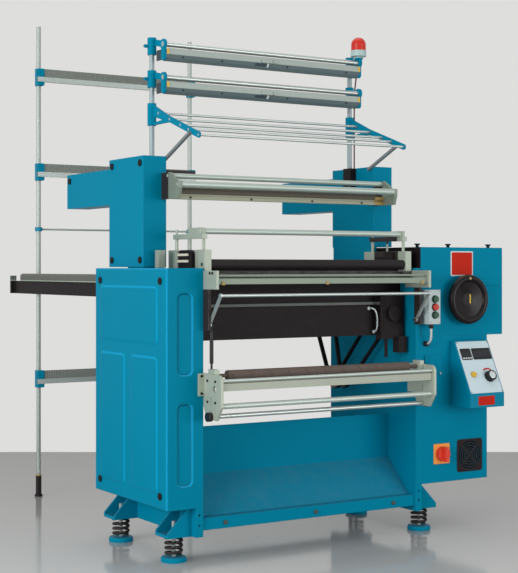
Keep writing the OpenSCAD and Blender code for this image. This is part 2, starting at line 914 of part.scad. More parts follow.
// Small screw heads on the take-up's mounting pad and on the outer faces of the take-up and rail plates
module plate_screws() {
    for (z = [take_top - plate_screw_d, take_top - mount_pad[2] + plate_screw_d])
        rod_y(-mount_pad[1] - plate_screw_t, -mount_pad[1], [col_w - mount_pad[0] / 2, z], plate_screw_d);
    for (y = take_screw_ys, z = take_screw_zs) rod_x(col_w - plate_screw_t, col_w, [y, z], plate_screw_d);
    for (i = [1, 3])
        rod_x(col_w - plate_screw_t, col_w, [rail_y + i * plate_screw_d, rail_rod_z + plate_screw_d],
              plate_screw_d);
}

module front_poles() color(steel) place() both_sides()
    rod_z(pole_z0, col_top + pole_top, [pole_x, pole_y], pole_d);

module pole_clamps() color(black) place() both_sides() difference() {
    block([col_w, pole_y - pole_block[1] / 2, pole_z0 + pole_d / 2], pole_block);
    rod_z(pole_z0, up_top, [pole_x, pole_y], pole_d);
}

// A ring on a pole with a set-screw knob, and an arm that holds one rod
module stop_bracket(z) difference() {
    union() {
        rod_z(z - ring_h / 2, z + ring_h / 2, [pole_x, pole_y], ring_d);
        rod_x(pole_x - ring_d / 2 - set_knob_l, pole_x, [pole_y, z], set_knob_d);
        link_yz(pole_x + stop_arm / 2, stop_arm, [pole_y, z + ring_h / 4], [stop_y, z], ring_d - stop_arm);
        rod_x(pole_x + stop_arm / 2, pole_x + stop_arm * 3 / 2, [stop_y, z], stop_rod_d + 2 * stop_arm);
        block([pole_x + stop_arm / 2, stop_y - leg_w / 2, z - channel_drop + leg_w / 2],
              [stop_arm, leg_w, channel_drop - leg_w / 2]);
        rod_x(pole_x + stop_arm / 2, pole_x + stop_arm * 3 / 2,
              [stop_y, z - channel_drop + leg_w / 2], leg_w);
    }
    rod_z(z - ring_h / 2 - cut, z + ring_h / 2 + cut, [pole_x, pole_y], pole_d);
    rod_x(pole_x, pole_x + stop_arm * 2, [stop_y, z], stop_rod_d);
}

module stop_motion_brackets() color(blue) place() {
    both_sides() for (h = stop_zs) stop_bracket(col_top + h);
    translate([2 * bay_mid - pole_x - stop_arm, stop_y, col_top + stop_zs[0] + stop_rod_d / 2])
        beacon_seat();
}

module beacon_seat() {
    seat = stop_arm + beacon_seat_rise;
    translate([-beacon_neck[0] / 2, -beacon_neck[0] / 2, stop_arm / 2])
        cube([beacon_neck[0], beacon_neck[0], seat - stop_arm / 2]);
}

beacon_seat_rise = 2;
beacon_x = 2 * bay_mid - pole_x - stop_arm;
beacon_z = col_top + stop_zs[0] + stop_rod_d / 2 + stop_arm + beacon_seat_rise;

module stop_motion_rods() color(steel) place()
    for (h = stop_zs)
        rod_x(pole_x + stop_arm / 2, 2 * bay_mid - pole_x - stop_arm / 2, [stop_y, col_top + h], stop_rod_d);

// One comb: a rail of teeth standing in an alloy holder
module comb(x0, x1, y, z) {
    pitch = (x1 - x0) / comb_teeth;
    tooth = pitch * comb_fill_share;
    block([x0, y - comb_holder[0] / 2, z], [x1 - x0, comb_holder[0], comb_holder[1]]);
    translate([x0, y + comb_t / 2, z + comb_holder[1]])
        rotate([90, 0, 0])
            linear_extrude(comb_t)
                polygon(concat(
                    [[0, 0]],
                    [for (i = [0 : comb_teeth - 1])
                        each [[i * pitch, comb_t], [i * pitch, comb_h],
                              [i * pitch + tooth, comb_h], [i * pitch + tooth, comb_t]]],
                    [[x1 - x0, comb_t], [x1 - x0, 0]]));
}

leg_w = 24;
lever = [58, 5, 12];
lever_d = 14;

// Open channel under a stop-motion rod: an upright front, a sloping face below it and a flat back
module channel_outline(inset) {
    front = -channel_d / 2 + inset;
    back = channel_d / 2 - inset;
    polygon([[front, channel_h + (inset > 0 ? cut : 0)], [front, channel_h * channel_front_share + inset],
             [front + channel_d * channel_under_share, channel_h * (1 - channel_slope_share) + inset],
             [back - channel_d * channel_under_share, inset], [back, inset],
             [back, channel_h + (inset > 0 ? cut : 0)]]);
}

// Channel with a small lever at the middle of its front
module stop_channel(z) {
    x0 = pole_x + stop_arm * 3 / 2;
    length = 2 * (bay_mid - x0);
    difference() {
        plate_yz(x0, length) translate([stop_y, z]) channel_outline(0);
        plate_yz(x0 - cut, length + 2 * cut) translate([stop_y, z]) channel_outline(channel_wall);
    }
    front = stop_y - channel_d / 2;
    low = z + channel_h * channel_front_share;
    block([bay_mid - lever[0] / 2, front - lever[1], low], lever);
    rod_y(front - 2 * lever[1], front, [bay_mid + lever[0] / 2, low + lever[2] / 2], lever_d);
}

module stop_motion_channels() color(alloy) place()
    for (h = stop_zs) stop_channel(col_top + h - channel_drop);

function guide_yz(s) = [guide_y0 + (guide_y1 - guide_y0) * s, guide_z0 + (guide_z1 - guide_z0) * s];

// A ring on the pole, a triangle with a window and a straight arm to the last rod
module rack_bracket() difference() {
    knee = guide_yz(guide_shares[1]);
    union() {
        rod_z(guide_z0 - rack_h / 2, guide_z0 + rack_h / 2, [pole_x, pole_y], ring_d);
        plate_yz(pole_x - rack_t / 2, rack_t) difference() {
            polygon([[pole_y, guide_z0 + rack_h / 2], [pole_y, guide_z0 - rack_h / 2],
                     knee - [0, rack_w / 2], knee + [0, rack_w / 2]]);
            polygon([for (p = rack_window) [pole_y, guide_z0] + p]);
        }
        link_yz(pole_x - rack_t / 2, rack_t, knee, guide_yz(1), rack_w);
        rod_x(pole_x - rack_t / 2, pole_x + rack_t / 2, guide_yz(1), rack_w);
    }
    rod_z(guide_z0 - rack_h, guide_z0 + rack_h, [pole_x, pole_y], pole_d);
    for (s = guide_shares) rod_x(pole_x - rack_t, pole_x + rack_t, guide_yz(s), guide_d);
}

module rack_brackets() color(blue) place() both_sides() rack_bracket();

module guide_rods() color(steel) place()
    for (s = guide_shares)
        rod_x(pole_x - rack_t / 2, 2 * bay_mid - pole_x + rack_t / 2, guide_yz(s), guide_d);

module rack_struts() color(alloy) place() both_sides()
    link_yz(col_w, pole_x - rack_t / 2 - col_w, strut_low, guide_yz(strut_share) - [0, rack_w / 4], strut_w);

module beacon_base() color(steel) place() translate([beacon_x, stop_y, beacon_z]) {
    cylinder(d = beacon_neck[0], h = beacon_neck[1]);
    translate([0, 0, beacon_neck[1]]) cylinder(d = beacon_d, h = beacon_base_h);
}

module beacon_dome() color("red") place()
    translate([beacon_x, stop_y, beacon_z + beacon_neck[1] + beacon_base_h])
        rotate_extrude() dome_outline();

dome_lip = 2;

// Half outline of the dome: a straight skirt under a half ball
module dome_outline() {
    r = beacon_d / 2 - dome_lip;
    square([r, dome_h - r]);
    translate([0, dome_h - r]) quarter_disc(r);
}

// Plate that carries both weft rollers and the weft rail
module weft_bracket() difference() {
    low = weft_d * weft_edge_share;
    plate_yz(weft_x0, weft_plate_t)
        polygon([[up_y, weft_rail_z], [weft_y, weft_rail_z], [weft_y - low, weft_z - low],
                 [weft_y - low, weft_z + low], [weft_y + low, weft_z + low],
                 [weft_rear_y - low, weft_rear_z + low], [up_y, weft_rear_z + low]]);
    rod_x(weft_x0 - cut, weft_x0 + weft_plate_t + cut, [weft_y, weft_z], weft_journal_d + 2 * run);
    rod_x(weft_x0 - cut, weft_x0 + weft_plate_t + cut, [weft_rear_y, weft_rear_z], weft_journal_d + 2 * run);
}

module weft_brackets() color(alloy) place() {
    both_sides() weft_bracket();
    block([col_w, weft_arm_y, col_top + weft_arm_rise], weft_arm);
}

slot_share = 0.3;

module weft_rail_bar() color(alloy) place() {
    x0 = weft_x0 + weft_plate_t;
    slot = weft_rail[1] * slot_share;
    difference() {
        block([x0, weft_rail_y, weft_rail_z], [2 * (bay_mid - x0), weft_rail[0], weft_rail[1]]);
        block([x0 - cut, weft_rail_y - cut, weft_rail_z + (weft_rail[1] - slot) / 2],
              [2 * (bay_mid - x0 + cut), cut + slot, slot]);
    }
}

// A roller between two plates, with a journal in each
module roller(x_plate, seat, side_gap, d, journal_d, yz) {
    rod_x(x_plate + side_gap, 2 * bay_mid - x_plate - side_gap, yz, d);
    rod_x(x_plate - seat, 2 * bay_mid - x_plate + seat, yz, journal_d);
}

module weft_roller_front() color(steel) place()
    roller(weft_x0 + weft_plate_t, weft_plate_t, gap, weft_d, weft_journal_d, [weft_y, weft_z]);

module weft_roller_rear() color(steel) place()
    roller(weft_x0 + weft_plate_t, weft_plate_t, gap, weft_rear_d, weft_journal_d,
           [weft_rear_y, weft_rear_z]);

web_t = 8;

// Two pillars with a thin web between them, and the guide pins of the crosshead
module presser_stand() {
    difference() {
        union() {
            for (p = [pillar_front, pillar_rear])
                block([stand_x, p[0], bed_top], [stand_w, p[1] - p[0], pillar_top - bed_top]);
            block([stand_x + stand_w - web_t, pillar_front[0], bed_top],
                  [web_t, pillar_rear[1] - pillar_front[0], pillar_top - bed_top]);
        }
        rod_x(stand_x - cut, stand_x + stand_w + cut, [feed_y, feed_z], feed_journal_d + 2 * run);
    }
    for (y = pin_ys) {
        xy = [stand_x + stand_w / 2, y];
        rod_z(pillar_top, cross_z - gap, xy, pin_low_d);
        rod_z(pillar_top, cross_z + cross_h + press_lift, xy, pin_d);
    }
}

side_block = [30, 26, 66];
side_block_y = 236;
side_block_in = 26;

// Stands on both sides, and a bearing block on top of the left column
module presser_stands() color(alloy) place() {
    both_sides() presser_stand();
    block([col_w - side_block_in - side_block[0], side_block_y, col_top], side_block);
}

// Bar on two pins with the clamp of the presser roller on it
module presser_crosshead() difference() {
    union() {
        y0 = pin_ys[0] - cross_w / 2;
        block([cross_x, y0, cross_z], [cross_w, pin_ys[1] - pin_ys[0] + cross_w, cross_h]);
        block([cross_x, press_y - clamp_h / 2, cross_z + cross_h], [cross_w, clamp_l, clamp_h]);
        rod_z(pillar_top + gap, cross_z, [stand_x + stand_w / 2, lift_rod_y], pin_d);
    }
    for (y = pin_ys)
        rod_z(cross_z - cut, cross_z + cross_h + press_lift + cut,
              [stand_x + stand_w / 2, y], pin_d + 2 * run);
    rod_x(cross_x - cut, cross_x + cross_w + cut, [press_y, press_z], press_journal_d + 2 * run);
}

module presser_crossheads() color(alloy) place() both_sides() presser_crosshead();

module presser_roller() color(steel) place()
    roller(cross_x + cross_w, cross_w, gap, press_d, press_journal_d, [press_y, press_z]);

slide_bar = [4, 9];
slide_in = 1;
slide_l = 98;
slide_round = 20;
slide_shares = [0.42, 0.72];

// A rounded black block between the pillars, with two ivory bars on its outer side
module slide_block() {
    y0 = pillar_rear[0] - slide_in - slide_l;
    h = pillar_top - bed_top;
    plate_yz(stand_x + slide_bar[0], stand_w - web_t - slide_bar[0]) {
        translate([y0, bed_top]) round_rect(slide_l, h, slide_round);
        translate([y0, bed_top]) square([slide_l, slide_round]);
    }
    for (s = slide_shares)
        block([stand_x, y0 + slide_round, bed_top + h * s],
              [slide_bar[0], slide_l - slide_round, slide_bar[1]]);
}

// Boxes of the slide's drive on the bed beside the right stand
slide_boxes = [[8, 120, 58], [6, 62, 76]];
slide_box_y = 86;
slide_knob = [30, 14];

module slide_drive() {
    x1 = 2 * bay_mid - stand_x - stand_w;
    for (b = slide_boxes) block([x1 - b[0], slide_box_y, bed_top], b);
    mid = [slide_box_y + slide_boxes[0][1] - slide_knob[0], bed_top + slide_boxes[0][2] / 2];
    rod_x(x1 - slide_boxes[0][0] - slide_knob[1], x1 - slide_boxes[0][0], mid, slide_knob[0]);
}

module slide_blocks() color(black) place() {
    both_sides() slide_block();
    slide_drive();
}

// The bed has a ledge in front, on which the needle bar slides
module needle_bed() color(steel) place() {
    block([bed_x0, 0, beam_top], [bed_x1 - bed_x0, bed_d, ledge_h]);
    block([bed_x0, ledge_d, beam_top + ledge_h], [bed_x1 - bed_x0, bed_d - ledge_d, bed_h - ledge_h]);
    for (x = [bed_x0, bed_x1 - stand_w - bed_in]) {
        block([x, pillar_front[0], beam_top + ledge_h],
              [stand_w + bed_in, ledge_d - pillar_front[0], bed_h - ledge_h]);
        block([x, bed_d, beam_top], [stand_w + bed_in, pillar_rear[1] - bed_d, bed_h]);
    }
}

needle_in = 16;

module needle_bar() color(steel) place() {
    x0 = stand_x + stand_w + needle_in;
    x1 = 2 * bay_mid - x0;
    pitch = (x1 - x0) / needle_n;
    y_tip = needle_bar_y - needle_l;
    block([x0, needle_bar_y, needle_bar_z], [x1 - x0, needle_bar_w, needle_bar_h]);
    for (i = [0 : needle_n - 1]) {
        x = x0 + pitch * (i + 0.5);
        rod_y(y_tip, needle_bar_y + needle_d, [x, needle_z], needle_d);
        rod_z(needle_z, needle_z + hook_h, [x, y_tip + needle_d * hook_share], needle_d * hook_share);
    }
}

module feed_roller() color(black) place()
    roller(stand_x + stand_w, stand_w, gap, feed_d, feed_journal_d, [feed_y, feed_z]);

clip_w = 12;
clip_shares = [0.02, 0.5, 0.98];

// Thin rod and flat bar in front of the needles, with small brass clips on the bar
module front_rail() color(steel) place() {
    x0 = col_w + rail_plate_t;
    rod_x(x0, 2 * bay_mid - x0, [rail_y, rail_rod_z], rail_rod_d);
    block([x0, rail_y - rail_bar[0] / 2, rail_bar_z], [2 * (bay_mid - x0), rail_bar[0], rail_bar[1]]);
    for (s = clip_shares)
        block([x0 + (2 * (bay_mid - x0) - clip_w) * s, rail_y - rail_bar[0], rail_bar_z - clip_w / 4],
              [clip_w, rail_bar[0] / 2, clip_w]);
}

rail_plate_back = 56;
rail_plate_low = 18;

// Plate on the column's inner face that carries the front rail and the stop bar's pivot
module rail_bracket() {
    z_top = rail_rod_z + rail_plate_low;
    y_front = rail_y - rail_plate_low;
    plate_yz(col_w, rail_plate_t)
        polygon([[y_front, z_top], [rail_plate_back, z_top], [rail_plate_back, rail_bar_z - rail_plate_low],
                 [stop_pivot[0] + rail_plate_low, rail_bar_z - rail_plate_low],
                 stop_pivot + [rail_plate_low, -rail_plate_low],
                 stop_pivot - [rail_plate_low, rail_plate_low],
                 [stop_pivot[0] - rail_plate_low, rail_bar_z - rail_plate_low],
                 [y_front, rail_bar_z - rail_plate_low]]);
    rod_x(col_w + rail_plate_t, col_w + rail_plate_t + stop_arm_t + 3 * gap + link_d, stop_pivot, stop_pin_d);
}

link_d = 8;

// Both plates, and the link rod that runs from the left pivot down to the take-up's bearing
module rail_brackets() color(alloy) place() {
    both_sides() rail_bracket();
    rod_z(take_z + take_block[2] / 2, stop_pivot[1],
          [col_w + rail_plate_t + stop_arm_t + 2 * gap + link_d / 2, stop_pivot[0]], link_d);
}

module stop_bar() color(steel) place() {
    x0 = col_w + rail_plate_t + gap;
    both_sides() difference() {
        union() {
            link_yz(x0, stop_arm_t, stop_pivot, stop_tip, stop_arm_w * slot_share * 2);
            rod_x(x0, x0 + stop_arm_t, stop_pivot, stop_pin_d + stop_arm_t);
            rod_x(x0, x0 + stop_arm_t, stop_tip, stop_arm_w);
        }
        rod_x(x0 - cut, x0 + stop_arm_t + cut, stop_pivot, stop_pin_d + 2 * run);
    }
    rod_x(x0 + stop_arm_t, 2 * bay_mid - x0 - stop_arm_t, stop_tip, stop_bar_d);
}

beam_rib_share = 0.55;
beam_rib = 10;
head_x_shares = [0.872, 0.985];
head_y = 60;
head_top_share = 0.78;
head_drop = 14;
hose_d = 16;

// Cast beam with a machined strip along its front and the drive head on its right end
module main_beam() color(black) place() {
    z0 = beam_top - beam_h;
    strip_z = z0 + beam_h * beam_rib_share;
    difference() {
        block([col_w, beam_y, z0], [bay_w, beam_d, beam_h]);
        block([head_belt_x - head_pocket_side, beam_y + beam_rib, z0 - cut],
              [pulley_t + 2 * head_pocket_side, beam_d, head_pulley_z + head_pulley_d - z0]);
        rod_x(head_belt_x - 2 * head_pocket_side, head_belt_x + pulley_t + 2 * head_pocket_side,
              [head_pulley_y, head_pulley_z], head_axle_d + 2 * run);
    }
    block([col_w, beam_y - beam_rib, strip_z], [bay_w, beam_rib, beam_rib]);
    x0 = col_w + bay_w * head_x_shares[0];
    x1 = col_w + bay_w * head_x_shares[1];
    head_z1 = z0 + beam_h * head_top_share;
    block([x0, head_y, z0 - head_drop], [x1 - x0, beam_y - head_y, head_z1 - z0 + head_drop]);
    rod_z(z0 + head_drop, head_z1 - head_drop, [x0, head_y], hose_d);
    rod_y(head_y - hose_d, head_y, [(x0 + x1) / 2, (z0 + head_z1) / 2], (x1 - x0) * beam_rib_share);
    rod_z(z0 - head_drop - hang_l, z0, [x0 + hang_in, head_y + hose_d], hang_d);
    block([x1 - sensor[0], head_y - sensor[1] / 2, z0 - head_drop - sensor[2] + beam_rib], sensor);
}

head_belt_x = pulley_x + belt_pitch;
hang_l = 72;
hang_in = 34;
hang_d = 14;
sensor = [38, 40, 64];

module main_shaft() color(steel) place() {
    x_apex = wheel_x;
    face = bevel_r * bevel_face_share;
    rod_x(col_w - col_wall, x_apex - face, [shaft_y, shaft_z], shaft_d);
    for (s = eccentric_shares)
        rod_x(col_w + bay_w * s, col_w + bay_w * s + eccentric_t,
              [shaft_y + needle_stroke / 2, shaft_z], eccentric_d);
    translate([x_apex - bevel_r, shaft_y, shaft_z])
        rotate([0, 90, 0])
            cylinder(r1 = bevel_r * bevel_share, r2 = face * bevel_share, h = bevel_r - face);
    pulley(pulley_x, [shaft_y, shaft_z], pulley_d);
}

flange_t = 3;
flange_h = 4;

// Flat belt pulley with a flange on each side of its face
module pulley(x0, yz, d) {
    rod_x(x0, x0 + pulley_t, yz, d);
    for (x = [x0 - flange_t, x0 + pulley_t]) rod_x(x, x + flange_t, yz, d + 2 * flange_h);
}

module head_pulley() color(steel) place() {
    pulley(head_belt_x, [head_pulley_y, head_pulley_z], head_pulley_d);
    rod_x(head_belt_x - 2 * head_pocket_side + gap, head_belt_x + pulley_t + 2 * head_pocket_side - gap,
          [head_pulley_y, head_pulley_z], head_axle_d);
}

module belt_loop(yz, d, grow) hull() {
    translate(yz) circle(d = d + 2 * grow, $fn = 56);
    translate([motor_y, motor_z]) circle(d = motor_pulley_d + 2 * grow, $fn = 40);
}

module belt(x0, yz, d) plate_yz(x0 + gap, pulley_t - 2 * gap) difference() {
    belt_loop(yz, d, gap + belt_t);
    belt_loop(yz, d, gap);
}

// One belt up to the main shaft and one forward to the head
module drive_belts() color(black) place() {
    belt(pulley_x, [shaft_y, shaft_z], pulley_d);
    belt(head_belt_x, [head_pulley_y, head_pulley_z], head_pulley_d);
}

motor_foot = 60;

// Motor body hung from the side frame, inside the cabinet
module drive_motor() color(steel) place() {
    x0 = house_x + cab_wall;
    difference() {
        rod_x(x0, x0 + motor_l, [motor_y, motor_z], motor_d);
        rod_x(x0 - cut, x0 + motor_foot, [motor_y, motor_z], motor_shaft_d + 2 * run);
    }
}

module motor_pulley() color(steel) place() {
    for (x = [pulley_x, head_belt_x]) pulley(x, [motor_y, motor_z], motor_pulley_d);
    rod_x(pulley_x, house_x + cab_wall + motor_foot - cut, [motor_y, motor_z], motor_shaft_d);
}

take_taper_share = 0.3;
take_back = 40;
mount_pad = [23, 8, 80];

// End plate of the take-up with a bearing block and a mounting pad
module takeup_plate() difference() {
    union() {
        plate_yz(col_w, take_t) {
            taper_z = take_bottom + (take_top - take_bottom) * take_taper_share;
            polygon([[take_back, take_top], [-take_reach + take_round, take_top],
                     [-take_reach, take_top - take_round], [-take_reach, taper_z],
                     [-take_reach + knob_d, take_bottom], [tension[0] + knob_d, take_bottom],
                     [0, taper_z], [take_back, taper_z]]);
            translate([-take_reach + take_round, take_top - take_round]) circle(take_round);
        }
        block([col_w + take_t, take_y - take_block[1] / 2, take_z - take_block[2] / 2], take_block);
        block([col_w - mount_pad[0], -mount_pad[1], take_top - mount_pad[2]], mount_pad);
    }
    rod_x(col_w + take_t, col_w + take_t + take_block[0] + cut, [take_y, take_z], take_journal_d + 2 * run);
    rod_x(col_w - cut, col_w + take_t + cut, tension, tension_d + 2 * run);
    rod_x(col_w - cut, col_w + take_t + cut,
          [-take_reach + take_bore_in, take_top - take_bore_drop], take_bore_d);
    block([col_w - cut, tension[0], take_bottom + take_slot[0]],
          [take_t + 2 * cut, take_slot[1], take_slot[2]]);
}

// Height of the slot's foot above the plate's bottom, then its width and height
take_slot = [48, 4, 32];

module takeup_plates() color(alloy) place() both_sides() takeup_plate();

module takeup_roller() color([0.34, 0.29, 0.27]) place() {
    x0 = col_w + take_inset;
    seat = col_w + take_t + gap;
    rod_x(x0, 2 * bay_mid - x0, [take_y, take_z], take_d);
    rod_x(seat, 2 * bay_mid - seat, [take_y, take_z], take_journal_d);
}

// Guide rod, flat bar and cloth bar between the take-up plates
module takeup_bars() color(steel) place() {
    x0 = col_w + take_t;
    x1 = 2 * bay_mid - x0;
    rod_x(x0, x1, take_rod, take_rod_d);
    block([x0, take_rod[0] - take_flat[0] / 2, take_flat_z], [x1 - x0, take_flat[0], take_flat[1]]);
    rod_x(x0, x1, cloth_bar, cloth_d);
}

module tension_bar() color(steel) place() {
    rod_x(col_w - gap, 2 * bay_mid - col_w + gap, tension, tension_d);
    both_sides() rod_x(col_w - gap - knob_t, col_w - gap, tension, knob_d);
}

module button_box() color(alloy) place() difference() {
    union() {
        block([box_x, -box_stand - box_d, box_z], [box_w, box_d, box_h]);
        block([box_x + box_w / 4, -box_stand, box_z + box_h / 4], [box_w / 2, box_stand, box_h / 2]);
        for (z = button_zs)
            rod_y(-box_stand - box_d - bezel_t, -box_stand - box_d, [box_x + box_w / 2, z], bezel_d);
    }
    for (z = button_zs)
        rod_y(-box_stand - box_d - bezel_t - cut, -box_stand - box_d + button_l,
              [box_x + box_w / 2, z], button_d + 2 * gap);
}

module push_button(i) {
    y0 = -box_stand - box_d - bezel_t - button_out;
    rod_y(y0, y0 + button_out + bezel_t + button_l - button_travel - gap,
          [box_x + box_w / 2, button_zs[i]], button_d);
}

module start_button() color("green") place() push_button(0);

module stop_button() color("red") place() push_button(1);

module jog_button() color("green") place() push_button(2);

cable_x = box_x + box_w / 2;

// Lead from the bottom of the button box to its gland on the cabinet
module button_cable() color("white") place() {
    y = -box_stand - box_d / 2;
    rod_z(cable_z + cable_bend, box_z, [cable_x, y], cable_d);
    translate([cable_x, y + cable_bend, cable_z + cable_bend])
        rotate([90, 0, 90])
            rotate([0, 0, 180])
                rotate_extrude(angle = 90) translate([cable_bend, 0]) circle(d = cable_d);
    rod_y(y + cable_bend, cab_wall, [cable_x, cable_z], cable_d);
}

rim_d = 30;
hub_d = 50;
web_t_share = 0.2;
hub_seat_share = 0.3;
hub_seat = wheel_t * hub_seat_share;

// Handwheel turned in one piece: a round rim, a dished web and a hub
module handwheel() color(black) place()
    translate([wheel_x, -wheel_gap, shaft_z])
        rotate([90, 0, 0])
            difference() {
                rotate_extrude() wheel_outline();
                translate([0, 0, -cut]) cylinder(d = wheel_shaft_d, h = hub_seat + cut);
            }

module wheel_outline() {
    rim_r = (wheel_d - rim_d) / 2;
    web = wheel_t * web_t_share;
    translate([rim_r, wheel_t / 2]) intersection() {
        circle(d = rim_d);
        square([rim_d, wheel_t], center = true);
    }
    polygon([[0, 0], [hub_d / 2, 0], [rim_r, wheel_t / 2 - web], [rim_r, wheel_t / 2 + web],
             [hub_d / 2, web * 2], [0, web * 2]]);
}

module handwheel_shaft() color(steel) place() {
    face = bevel_r * bevel_face_share;
    rod_y(-wheel_gap - hub_seat, shaft_y - face, [wheel_x, shaft_z], wheel_shaft_d);
    translate([wheel_x, shaft_y - bevel_r, shaft_z])
        rotate([-90, 0, 0])
            cylinder(r1 = bevel_r * bevel_share, r2 = face * bevel_share, h = bevel_r - face);
}

// Places children on the sloping panel: X across, Y up the slope, Z out of it
module on_panel(shares) translate([con_x, -con_lip_d, con_z + con_lip_h])
    rotate([90 - con_slope, 0, 0])
        translate([con_w * shares[0], con_panel_h * shares[1], 0])
            children();

module console_outline(inset) {
    polygon([[0, con_z + inset], [-con_lip_d + inset, con_z + inset], [-con_lip_d + inset, con_z + con_lip_h],
             [-con_top_d + inset, con_z + con_lip_h + con_slope_h - inset],
             [0, con_z + con_lip_h + con_slope_h - inset]]);
}

module control_console() color(blue) place() difference() {
    union() {
        difference() {
            plate_yz(con_x, con_w) console_outline(0);
            plate_yz(con_x + con_wall, con_w - 2 * con_wall) console_outline(con_wall);
        }
        on_panel([0, 0])
            translate([con_margin, con_margin, -con_plate_t / 2])
                linear_extrude(con_plate_t * 3 / 2)
                    round_rect(con_w - 2 * con_margin, con_panel_h - 2 * con_margin, con_margin);
    }
    on_panel(knob_shares)
        translate([0, 0, -knob_shaft_l]) cylinder(d = knob_shaft_d + 2 * run, h = knob_shaft_l * 2);
    on_panel(lamp_shares)
        translate([0, 0, -knob_shaft_l]) cylinder(d = lamp_button_d + 2 * gap, h = knob_shaft_l * 2);
}

grip_n = 12;
grip_d = 4;

module speed_knob() color(black) place() on_panel(knob_shares) {
    translate([0, 0, con_plate_t + gap]) difference() {
        cylinder(d1 = speed_knob_d, d2 = speed_knob_d - grip_d, h = speed_knob_h);
        for (i = [0 : grip_n - 1])
            rotate(360 * i / grip_n)
                translate([speed_knob_d / 2, 0, -cut]) cylinder(d = grip_d, h = speed_knob_h + 2 * cut);
    }
    translate([0, 0, -knob_shaft_l]) cylinder(d = knob_shaft_d, h = knob_shaft_l + con_plate_t + 2 * gap);
}

module console_button() color("yellow") place() on_panel(lamp_shares) {
    translate([0, 0, -knob_shaft_l]) cylinder(d = lamp_button_d, h = knob_shaft_l + con_plate_t + lamp_h);
}

module main_switch_knob() color("red") place() {
    y0 = -switch_t - gap;
    grip = switch_knob_d * switch_grip_share;
    rod_y(y0 - switch_knob_h / 2, y0, [switch_x, switch_z], switch_knob_d);
    block([switch_x - grip / 2, y0 - switch_knob_h, switch_z - switch_knob_d / 2],
          [grip, switch_knob_h / 2, switch_knob_d]);
    rod_y(y0, cab_wall + knob_shaft_l, [switch_x, switch_z], switch_shaft_d);
}

// Two free poles in floor sleeves with three combs and a thin rod between them
module rear_rack() color(steel) place() {
    for (x = [rear_x0, rear_x1]) {
        rod_z(sleeve_foot[1], rear_pole_h, [x, rear_y], rear_pole_d);
        rod_z(0, sleeve_h, [x, rear_y], sleeve_d);
        rod_z(0, sleeve_foot[1], [x, rear_y], sleeve_foot[0]);
        for (s = rear_bar_shares)
            rod_z(rear_pole_h * s - rear_ring_h / 2, rear_pole_h * s + rear_ring_h / 2, [x, rear_y], ring_d);
        rod_z(rear_rod_z - rear_rod_d, rear_rod_z + rear_rod_d, [x, rear_y], ring_d);
    }
    y = rear_y - ring_d / 2 - comb_holder[0] / 2 + rear_bite;
    for (s = rear_bar_shares)
        comb(rear_x0 - ring_d / 2, rear_x1 + ring_d / 2, y, rear_pole_h * s - comb_holder[1]);
    rod_x(rear_x0, rear_x1, [rear_y, rear_rod_z], rear_rod_d);
}

rear_bite = 4;

// Black ties from the columns to the rack, with a round rail on top and a cross bar behind the poles
module rear_ties() color(black) place() {
    both_sides() {
        block([col_w, tie_y0, tie_z], [tie_t, tie_y1 - tie_y0, tie_h]);
        block([col_w - tie_cap_t, tie_y1 - tie_cap_t, tie_z],
              [tie_t + tie_cap_t, tie_cap_t, tie_h + tie_cap_rise]);
        translate([col_w + tie_t / 2, tie_rail_y1, tie_z + tie_h])
            rotate([90, 0, 0])
                linear_extrude(tie_rail_y1 - col_d - tie_rail[1]) tie_rail_outline();
    }
    x0 = col_w + tie_t;
    block([x0, rear_y + rear_pole_d / 2, tie_z + (tie_h - tie_bar[1]) / 2],
          [2 * (bay_mid - x0), tie_bar[0], tie_bar[1]]);
}

// Rail with an upright foot and a round top
module tie_rail_outline() {
    w = tie_rail[0];
    translate([-w / 2, 0]) square([w, tie_rail[1] - w / 2]);
    translate([0, tie_rail[1] - w / 2]) circle(d = w);
}

left_column();
left_end_cover();
right_side_frame();
electric_cabinet();
cabinet_hatch();
gearbox_housing();
base_frame();
tray_panel();
foot_springs();
foot_pads();
left_upper_column();
right_upper_column();
cover_screws();
front_poles();
pole_clamps();
stop_motion_brackets();
stop_motion_rods();
stop_motion_channels();
rack_brackets();
guide_rods();
rack_struts();
beacon_base();
beacon_dome();
weft_brackets();
weft_rail_bar();
weft_roller_front();
weft_roller_rear();
presser_stands();
presser_crossheads();
presser_roller();
slide_blocks();
needle_bed();
needle_bar();
feed_roller();
front_rail();
rail_brackets();
stop_bar();
main_beam();
main_shaft();
head_pulley();
drive_belts();
drive_motor();
motor_pulley();
takeup_plates();
takeup_roller();
takeup_bars();
tension_bar();
button_box();
start_button();
stop_button();
jog_button();
button_cable();
handwheel();
handwheel_shaft();
control_console();
speed_knob();
console_button();
main_switch_knob();
rear_rack();
rear_ties();
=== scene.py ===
import math

import bmesh
import bpy
from mathutils import Matrix, Vector


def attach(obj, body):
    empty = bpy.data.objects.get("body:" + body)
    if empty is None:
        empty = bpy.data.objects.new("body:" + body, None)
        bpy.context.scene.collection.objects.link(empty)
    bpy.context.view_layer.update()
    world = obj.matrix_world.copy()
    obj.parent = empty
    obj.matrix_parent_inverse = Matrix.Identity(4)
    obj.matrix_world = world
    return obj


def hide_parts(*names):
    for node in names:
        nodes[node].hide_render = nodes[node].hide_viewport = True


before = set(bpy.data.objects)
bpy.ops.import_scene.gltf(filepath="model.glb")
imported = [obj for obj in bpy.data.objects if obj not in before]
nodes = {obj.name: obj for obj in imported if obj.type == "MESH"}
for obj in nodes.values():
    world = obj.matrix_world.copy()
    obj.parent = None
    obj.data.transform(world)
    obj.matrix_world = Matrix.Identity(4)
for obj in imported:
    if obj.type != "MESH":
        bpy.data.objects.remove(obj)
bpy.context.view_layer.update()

scene = bpy.context.scene
scene.view_settings.view_transform = "Standard"

